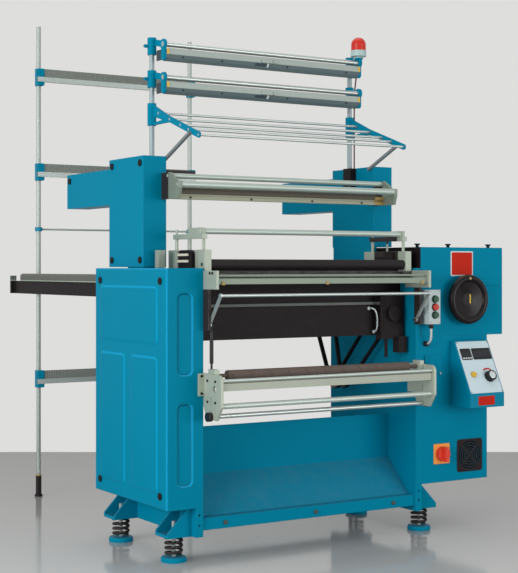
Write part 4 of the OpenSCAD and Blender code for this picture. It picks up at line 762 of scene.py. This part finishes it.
def lamp_lead():
    """The lead bends away from the lamp's base and runs straight down behind the pole."""
    knots = LEAD_BEND + [(LEAD_X, LEAD_Y, z) for z in (*LEAD_STRAIGHT, LEAD_FOOT)]
    route = [spot(*knot) for knot in knots]
    curve = bpy.data.curves.new("lamp_lead", "CURVE")
    curve.dimensions = "3D"
    curve.bevel_depth = 0.003
    curve.bevel_resolution = 3
    curve.use_fill_caps = True
    line = curve.splines.new("POLY")
    line.points.add(len(route) - 1)
    for point, where in zip(line.points, route):
        point.co = (*where, 1.0)
    curve.materials.append(sheath("lamp_lead_cover", LEAD_BROWN))
    lead = bpy.data.objects.new("lamp_lead", curve)
    scene.collection.objects.link(lead)
    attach(lead, "machine")


lamp_lead()


# Plain plates and console fittings

trim_red = enamel("trim_red", RED, edge=WHITE, corner=0.001)
trim_white = moulded("trim_white", WHITE)
trim_black = moulded("trim_black", DEEP_BLACK)
trim_yellow = moulded("trim_yellow", YELLOW)
trim_steel = machined("trim_steel", STEEL, "x")
trim_silver = turned_bar("trim_silver", SILVER, metal=0.25)
trim_brass = machined("trim_brass", BRASS, "x")
display_glass = window_glass("display_glass")

GEARBOX_PLATE = (1341.0, 0.0, 1062.0)
LIP_PLATE = (1366.0, CONSOLE_FRONT, 521.0)
WHEEL_PLUG = (1345.0, -49.0, 1003.0)
WHEEL_STRIPE = (1359.0, -30.4, 921.0)


def on_panel(share_across, share_down):
    """A frame on the console plate, by shares of its width from the left and its height from the top."""
    across = Vector((CONSOLE_WIDE * share_across, 0.0, 0.0))
    foot = CONSOLE_LIP + across + PANEL_UP * PANEL_HIGH * (1 - share_down)
    return facing(foot + PANEL_OUT * PLATE_THICK, PANEL_OUT, PANEL_UP)


def gearbox_plate():
    """Plain red plate with a pale rim, above the handwheel."""
    at = facing(GEARBOX_PLATE, FRONT)
    rim = bmesh.new()
    slab(rim, at, wide=116.0, high=100.0, thick=1.2, corner=5.0)
    piece("gearbox_plate_rim", rim, trim_white)
    face = bmesh.new()
    slab(face, at, wide=106.0, high=90.0, thick=1.8, corner=3.0)
    piece("gearbox_plate", face, trim_red)


def console_fittings():
    """Two displays with keys, the dial's red arc, the button's bezel, four screws and the lip's plate."""
    frames = bmesh.new()
    glass = bmesh.new()
    for left, right in DISPLAYS:
        at = on_panel((left + right) / 2, DISPLAY_DOWN)
        wide = (right - left) * CONSOLE_WIDE
        slab(frames, at, wide, high=48.0, thick=2.0, corner=3.0)
        slab(glass, at, wide - 8.0, high=30.0, thick=2.6, corner=1.5)
    piece("display_frames", frames, trim_black)
    piece("display_windows", glass, display_glass)
    keys = bmesh.new()
    for i in range(4):
        slab(keys, on_panel(0.12 + 0.07 * i, KEYS_DOWN), wide=8.0, high=6.0, thick=3.2, corner=1.2)
    piece("display_keys", keys, trim_white)
    band = bmesh.new()
    arc_band(band, on_panel(*DIAL_SHARES), inner=32.0, outer=38.0, start=56.0, end=124.0, thick=0.6)
    piece("dial_arc", band, trim_red)
    bezel = bmesh.new()
    turned(bezel, on_panel(*LAMP_BUTTON_SHARES),
           [(16.0, 0.0), (16.0, 1.2), (15.0, 2.0), (12.6, 2.0), (12.2, 1.2)])
    piece("lamp_button_bezel", bezel, trim_silver)
    screws = bmesh.new()
    for across in (0.05, 0.95):
        for down in (0.045, 0.955):
            screw_head(screws, on_panel(across, down), radius=3.2, tall=1.6)
    piece("console_screws", screws, trim_steel)
    lip = bmesh.new()
    slab(lip, facing(LIP_PLATE, FRONT), wide=84.0, high=36.0, thick=1.4, corner=2.0)
    piece("lip_plate", lip, trim_red)


def dial_cap():
    """Turned cap and pointer line on the speed knob."""
    at = on_panel(*DIAL_SHARES)
    cap = bmesh.new()
    turned(cap, at, [(15.0, 22.0), (15.0, 23.4), (13.8, 24.0), (11.0, 24.0), (10.4, 23.2)])
    piece("dial_cap", cap, trim_silver, body="dial")
    line = bmesh.new()
    above = at @ Matrix.Translation((0.0, 0.0187, 0.0))
    slab(line, above, wide=1.8, high=6.5, thick=1.0, corner=0.8, start=21.8)
    piece("dial_pointer", line, trim_white, body="dial")


def wheel_marks():
    """Yellow stripe on the handwheel's hub and a brass plug on its rim."""
    plug = bmesh.new()
    turned(plug, facing(WHEEL_PLUG, FRONT), [(5.5, -2.0), (5.5, 0.6), (4.6, 1.2), (2.6, 1.2), (2.2, 0.6)], 24)
    piece("wheel_plug", plug, trim_brass, body="wheel")
    stripe = bmesh.new()
    slab(stripe, facing(WHEEL_STRIPE, FRONT), wide=7.0, high=36.0, thick=0.9, corner=1.4)
    piece("wheel_stripe", stripe, trim_yellow, body="wheel")


# Small fittings of the racks, rails, button box and hatch

CHANNEL_SCREWS = (250.0, 422.0, 722.0, 1010.0)
CHANNEL_SWITCH_X = 598.0
CHANNEL_CLIP_X = 629.0
CHANNEL_TABS = (183.0, 1072.0)
END_PLATES = ((POLE_X + 13.0, LEFT), (BAY_MIDDLE * 2 - POLE_X - 13.0, RIGHT))
WEFT_RAIL_SCREWS = (215.0, 480.0, 760.0, 1000.0)
WEFT_RAIL_FACE = 213.0
WEFT_RAIL_MIDDLE = 1306.0
GLANDS = (((1153.0, -37.5, 825.0), DOWN, BACK), ((1153.0, 0.0, 746.0), FRONT, UP))
GLAND_PROFILE = [(11.0, 0.0), (11.0, 5.0), (8.5, 5.4), (8.5, 7.6), (10.0, 8.0), (10.0, 14.0), (8.0, 17.0),
                 (5.2, 18.0)]
BUTTON_BOX_FACE = -60.0
HATCH_LOCK = (1225.0, -8.0, 627.0)


def on_slope(x, low):
    """A frame on the sloping underside of a stop-motion channel whose lowest edge is given."""
    return facing((x, SLOPE_Y, low + SLOPE_UP), SLOPE_OUT)


def rail_screws():
    """Small screws along the stop-motion channels and the weft rail."""
    heads = bmesh.new()
    for low in CHANNEL_LOWS:
        for x in CHANNEL_SCREWS:
            screw_head(heads, on_slope(x, low), radius=3.6, tall=2.0)
    for x in WEFT_RAIL_SCREWS:
        screw_head(heads, facing((x, WEFT_RAIL_FACE, WEFT_RAIL_MIDDLE), FRONT), radius=4.5, tall=2.4)
    piece("rail_screws", heads, trim_black)


def channel_fittings():
    """A dark switch and a pale clip in the middle of each stop-motion channel, and dark plates at its ends."""
    switches = bmesh.new()
    clips = bmesh.new()
    for low in CHANNEL_LOWS:
        slab(switches, on_slope(CHANNEL_SWITCH_X, low), wide=50.0, high=10.0, thick=4.0, corner=1.5)
        slab(clips, on_slope(CHANNEL_CLIP_X, low), wide=7.0, high=15.0, thick=6.0, corner=1.0)
        for x, out in END_PLATES:
            slab(switches, facing((x, 382.0, low + 24.0), out), wide=46.0, high=40.0, thick=3.0, corner=3.0)
    piece("channel_switches", switches, rubber("switch_slate", SWITCH_SLATE))
    piece("channel_clips", clips, trim_white)


def channel_tabs():
    """Yellow end tabs of the stop-motion channels."""
    tabs = bmesh.new()
    for low in CHANNEL_LOWS:
        for x in CHANNEL_TABS:
            slab(tabs, facing((x, 329.0, low + 33.0), FRONT), wide=9.0, high=20.0, thick=2.5, corner=1.5)
    piece("channel_tabs", tabs, trim_yellow)


def cable_glands():
    """Ribbed glands where the button box's lead leaves the box and enters the cabinet."""
    glands = bmesh.new()
    for where, out, up in GLANDS:
        turned(glands, facing(where, out, up), GLAND_PROFILE, 24)
    piece("cable_glands", glands, trim_black)


def small_screws():
    """Screws of the button box, and the key slot of the hatch lock."""
    heads = bmesh.new()
    for x in (1132.0, 1174.0):
        for z in (832.0, 952.0):
            screw_head(heads, facing((x, BUTTON_BOX_FACE, z), FRONT), radius=3.0, tall=1.4)
    piece("button_box_screws", heads, trim_steel)
    lock = bmesh.new()
    at = facing(HATCH_LOCK, FRONT)
    turned(lock, at, [(4.6, -0.4), (4.6, 0.6), (4.0, 1.0), (2.2, 1.0), (2.0, 0.3)], 20)
    slab(lock, at, wide=1.2, high=5.0, thick=0.5, corner=0.5, edge=0.1, start=0.4)
    piece("hatch_lock", lock, trim_steel, body="hatch")


# Pressed sheets

def smooth_step(share):
    share = min(max(share, 0.0), 1.0)
    return share * share * (3.0 - 2.0 * share)


def past_outline(across, up, box, corner):
    """How far a point lies outside a rectangle with round corners, in millimetres; less than 0 inside it."""
    left, low, wide, high = box
    out = abs(across - left - wide / 2) - wide / 2 + corner
    over = abs(up - low - high / 2) - high / 2 + corner
    return math.hypot(max(out, 0.0), max(over, 0.0)) + min(max(out, over), 0.0) - corner


def grid_lines(start, length, borders, reach=24.0, step=1.5, coarse=40.0):
    """Lines for a pressed sheet, close together near each border and wide apart elsewhere."""
    marks = {start, start + length}
    for border in borders:
        count = int(reach / step)
        marks.update(border + step * i for i in range(-count, count + 1))
    marks = sorted(mark for mark in marks if start <= mark <= start + length)
    filled = []
    for one, two in zip(marks, marks[1:]):
        parts = max(1, math.ceil((two - one) / coarse))
        filled += [one + (two - one) * i / parts for i in range(parts)]
    return filled + [marks[-1]]


def pressed_sheet(bm, across, up, place):
    """A sheet pressed to shape: a grid of points, returned with the loop round its border."""
    rows = [[bm.verts.new(place(a, u)) for a in across] for u in up]
    for low, high in zip(rows, rows[1:]):
        for i in range(len(across) - 1):
            bm.faces.new((low[i], low[i + 1], high[i + 1], high[i]))
    right = [row[-1] for row in rows[1:-1]]
    left = [row[0] for row in rows[-2:0:-1]]
    return rows[0] + right + rows[-1][::-1] + left


# Left end cover: its front edge, low edge, depth and height, and each panel's shares of them
COVER = (0.0, 194.0, 580.0, 850.0)
COVER_THICK = 6.0
COVER_RISE = 3.0
COVER_PANELS = [(0.12, 0.685, 0.795, 0.235), (0.12, 0.066, 0.35, 0.559), (0.565, 0.066, 0.35, 0.559)]
COVER_PANEL_CORNER = 16.0
COVER_SLOPE = 13.0

# Recesses in the left column's front: left edge, low edges, width and height
RECESS_LEFT = 41.44
RECESS_LOWS = (270.5, 661.5)
RECESS_WIDE = 66.6
RECESS_TALL = 297.5
RECESS_DEEP = 4.7
RECESS_BACK = 4.95
RECESS_CORNER = 20.0
RECESS_SLOPE = 8.0


def end_cover():
    """The left end cover: one sheet with three panels pressed out and its outer edges rounded."""
    y0, z0, deep, tall = COVER
    panels = [(y0 + deep * y, z0 + tall * z, deep * w, tall * h) for y, z, w, h in COVER_PANELS]

    def pressed(y, z, panel):
        return smooth_step(0.5 - past_outline(y, z, panel, COVER_PANEL_CORNER) / COVER_SLOPE)

    def place(y, z):
        inset = min(y - y0, y0 + deep - y, z - z0, z0 + tall - z)
        turn = max(COVER_THICK - inset, 0.0)
        drop = COVER_THICK - math.sqrt(max(COVER_THICK ** 2 - turn ** 2, 0.0))
        rise = COVER_RISE * max(pressed(y, z, panel) for panel in panels)
        return spot(drop - rise, y, z)

    y_borders = [y0, y0 + deep] + [edge for panel in panels for edge in (panel[0], panel[0] + panel[2])]
    z_borders = [z0, z0 + tall] + [edge for panel in panels for edge in (panel[1], panel[1] + panel[3])]
    sheet = bmesh.new()
    rim = pressed_sheet(sheet, grid_lines(y0, deep, y_borders), grid_lines(z0, tall, z_borders), place)
    sheet.faces.new(rim)
    cover = piece("end_cover_sheet", sheet, finishes["left_end_cover"])
    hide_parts("left_end_cover")


def front_recesses():
    """Pressed linings with soft edges in the two recesses of the left column's front."""
    sheet = bmesh.new()
    inset = RECESS_SLOPE / 2
    for low in RECESS_LOWS:
        inner = (RECESS_LEFT + inset, low + inset, RECESS_WIDE - 2 * inset, RECESS_TALL - 2 * inset)

        def place(x, z):
            share = smooth_step(0.5 - past_outline(x, z, inner, RECESS_CORNER) / RECESS_SLOPE)
            return spot(x, RECESS_DEEP * share, z)

        across = grid_lines(RECESS_LEFT, RECESS_WIDE, (inner[0], inner[0] + inner[2]))
        up = grid_lines(low, RECESS_TALL, (inner[1], inner[1] + inner[3]))
        rim = pressed_sheet(sheet, across, up, place)
        back = [sheet.verts.new((v.co.x, spot(0.0, RECESS_BACK, 0.0).y, v.co.z)) for v in rim]
        sew(sheet, rim, back)
        sheet.faces.new(back)
    # Painted highlight: the linings' slopes that face left and up are painted a lighter blue.
    piece("front_recess_linings", sheet, enamel("recess_enamel", highlight_ways=(LEFT, UP)))


# Fittings of the knitting head, take-up, fan and rear rack

PIPE_KNOTS = ((952.0, 101.0, 886.0), (956.0, 88.0, 887.0), (965.0, 79.0, 881.0), (973.0, 76.0, 862.0),
              (976.0, 76.0, 838.0), (976.0, 78.0, 812.0), (976.0, 88.0, 798.0), (976.0, 101.0, 794.0))
PIPE_RADIUS = 3.4
COLLAR_FOOT = 100.6
LINK_SLEEVE = (170.8, -19.0, 705.0)
ROD_SHADOW_PLACE = (BAY_MIDDLE, -108.0, 642.0)
FILTER_PAD = (1380.5, 8.0, 291.5)
CLAMP_FRONT = 1590.0


def between(one, two, before, after, t):
    """A point of a smooth curve from one knot to the next, by their neighbours and a share of the way."""
    return 0.5 * ((2 * one) + (two - before) * t + (2 * before - 5 * one + 4 * two - after) * t ** 2
                  + (3 * one - before - 3 * two + after) * t ** 3)


def bent_rod(bm, knots, radius, sides=14):
    """A round rod through its knots, with a smooth bend at each."""
    last = len(knots) - 1
    points = []
    for i in range(last):
        before, after = knots[max(i - 1, 0)], knots[min(i + 2, last)]
        points += [between(knots[i], knots[i + 1], before, after, step / 8) for step in range(8)]
    points.append(knots[-1])
    turns = [math.tau * k / sides for k in range(sides)]
    circle = [(radius * math.cos(turn), radius * math.sin(turn)) for turn in turns]
    loops = []
    for i, point in enumerate(points):
        along = points[min(i + 1, len(points) - 1)] - points[max(i - 1, 0)]
        loops.append(ring(bm, facing(point, along, FRONT), circle, 0.0))
    for low, high in zip(loops, loops[1:]):
        sew(bm, low, high)
    bm.faces.new(loops[0][::-1])
    bm.faces.new(loops[-1])


def head_pipe():
    """Thin bent pipe from the beam's face down beside the drive head, with a collar at each end."""
    pipe = bmesh.new()
    bent_rod(pipe, [Vector(knot) for knot in PIPE_KNOTS], PIPE_RADIUS)
    for x, _, z in (PIPE_KNOTS[0], PIPE_KNOTS[-1]):
        turned(pipe, facing((x, COLLAR_FOOT, z), FRONT), [(7.0, 0.0), (7.0, 3.0), (5.6, 4.2), (3.6, 4.2)], 20)
    piece("head_pipe", pipe, trim_silver)


def link_sleeve():
    """Black sleeve on the link rod between the stop bar's pivot and the take-up's bearing."""
    sleeve = bmesh.new()
    turned(sleeve, facing(LINK_SLEEVE, UP, FRONT),
           [(4.6, 0.0), (7.0, 1.5), (7.0, 112.0), (6.0, 116.0), (4.6, 116.0)], 20)
    piece("link_sleeve", sleeve, trim_black)


def comb_strip(name, left, right, pitch, face, low, high, finish):
    """A strip that stands across the bay, with a row of teeth on its front."""
    comb = bmesh.new()
    middle = (low + high) / 2
    strip = facing(((left + right) / 2, face + 6.0, middle), FRONT)
    slab(comb, strip, right - left, high - low, thick=3.0, corner=0.6)
    for i in range(int((right - left) / pitch)):
        tooth = facing((left + pitch * (i + 0.5), face + 3.0, middle), FRONT)
        slab(comb, tooth, pitch / 3, high - low - 1.5, thick=2.4, corner=0.5, edge=0.3)
    piece(name, comb, finish)


def guide_combs():
    """The comb behind the needles, and the one on the weft rail that parts the weft threads."""
    comb_strip("needle_comb", left=204.0, right=1051.0, pitch=5.5, face=64.0, low=1032.0, high=1041.0,
               finish=machined("comb_steel", COMB_GREY, "z"))
    comb_strip("weft_comb", left=180.0, right=1075.0, pitch=9.0, face=214.0, low=1332.0, high=1342.0,
               finish=machined("weft_comb_steel", UMBER, "z"))


def rod_shadow_strip():
    """Dark strip between the take-up's guide rod and the flat bar under it: a painted shadow where the rod
    sits on the bar.
    """
    strip = bmesh.new()
    slab(strip, facing(ROD_SHADOW_PLACE, FRONT), wide=936.0, high=5.0, thick=4.0, corner=0.8)
    piece("rod_shadow_strip", strip, machined("rod_shadow_grey", ROD_SHADOW_GREY, "x"))


def fan_filter():
    """Dark filter pad behind the fan guard's slots."""
    pad = bmesh.new()
    slab(pad, facing(FILTER_PAD, FRONT), wide=126.0, high=126.0, thick=4.0, corner=6.0)
    piece("fan_filter", pad, rubber("filter_felt", DEEP_BLACK, 0.8))


def rear_clamp_fronts():
    """Front halves of the clamps that hold the comb holders on the rear poles."""
    halves = bmesh.new()
    for x in REAR_POLES:
        for bar in REAR_BARS:
            at = facing((x, CLAMP_FRONT, bar), FRONT)
            slab(halves, at, wide=34.0, high=78.0, thick=9.0, corner=5.0, edge=2.0)
    piece("rear_clamp_fronts", halves, blue_enamel)


gearbox_plate()
console_fittings()
dial_cap()
wheel_marks()
rail_screws()
channel_fittings()
channel_tabs()
cable_glands()
small_screws()
end_cover()
front_recesses()
head_pipe()
link_sleeve()
guide_combs()
rod_shadow_strip()
fan_filter()
rear_clamp_fronts()


# Floor and light

FLOOR_AHEAD = Vector((0.5299, 0.8480, 0.0))
FLOOR_ACROSS = Vector((0.8480, -0.5299, 0.0))
FLOOR_SHADE_FADE = (4.2, 7.6)
FLOOR_DEPTHS = (-3.0, 7.649)
FLOOR_SIDE = 8.0


def make_floor():
    """A smooth pale floor with painted light and shade: painted lighter near the camera and darker with its
    distance from it, ending at the backdrop.
    """
    paint = Paint("floor")
    foot = Vector((EYE.x, EYE.y, 0.0))
    depth = (paint.x - foot.x) * FLOOR_AHEAD.x + (paint.y - foot.y) * FLOOR_AHEAD.y
    span = {"From Min": FLOOR_SHADE_FADE[0], "From Max": FLOOR_SHADE_FADE[1]}
    share = paint.node("ShaderNodeMapRange", {"clamp": True}, {"Value": depth, **span})
    tone = paint.mix(share, FLOOR_LIT_NEAR, FLOOR_SHADED_FAR)
    tone = paint.shade(tone, 0.97 + 0.06 * paint.noise(1.5, 3.0))
    paint.done(tone, 0.08 + 0.06 * paint.noise(6.0), Specular_IOR_Level=0.14)
    near, back = FLOOR_DEPTHS
    edges = ((near, -FLOOR_SIDE), (near, FLOOR_SIDE), (back, FLOOR_SIDE), (back, -FLOOR_SIDE))
    corners = [foot + FLOOR_AHEAD * d + FLOOR_ACROSS * s for d, s in edges]
    mesh = bpy.data.meshes.new("floor")
    mesh.from_pydata([tuple(c) for c in corners], [], [(0, 1, 2, 3)])
    mesh.materials.append(paint.material)
    floor = bpy.data.objects.new("floor", mesh)
    scene.collection.objects.link(floor)


def make_world():
    """Even light all round, and a pale backdrop where the camera or a reflection looks."""
    world = bpy.data.worlds.new("studio")
    scene.world = world
    sky = Graph(world)
    path = sky.node("ShaderNodeLightPath")
    looked_at = path | path.other("Is Glossy Ray") | path.other("Is Transmission Ray")
    ambient = sky.node("ShaderNodeBackground", inputs={"Color": LIGHT, "Strength": 0.4})
    backdrop = sky.node("ShaderNodeBackground", inputs={"Color": BACKDROP, "Strength": 1.0})
    mixed = sky.node("ShaderNodeMixShader", inputs={0: looked_at, 1: ambient, 2: backdrop})
    sky.node("ShaderNodeOutputWorld", inputs={"Surface": mixed})


def make_lamp(name, where, aim, size, power):
    light = bpy.data.lights.new(name, "AREA")
    light.shape = "RECTANGLE"
    light.size, light.size_y = size
    light.energy = power
    lamp = bpy.data.objects.new(name, light)
    lamp.location = where
    lamp.rotation_euler = (Vector(aim) - Vector(where)).to_track_quat("-Z", "Y").to_euler()
    scene.collection.objects.link(lamp)


make_floor()
make_world()
make_lamp("key_lamp", where=(-6.8, -2.6, 2.0), aim=(0.0, 0.0, 1.0), size=(5.0, 3.0), power=290.0)
make_lamp("front_lamp", where=(3.2, -8.0, 1.3), aim=(0.3, 0.0, 0.9), size=(5.0, 3.0), power=205.0)
make_lamp("top_lamp", where=(0.0, 0.0, 5.5), aim=(0.0, 0.0, 0.0), size=(4.0, 4.0), power=65.0)
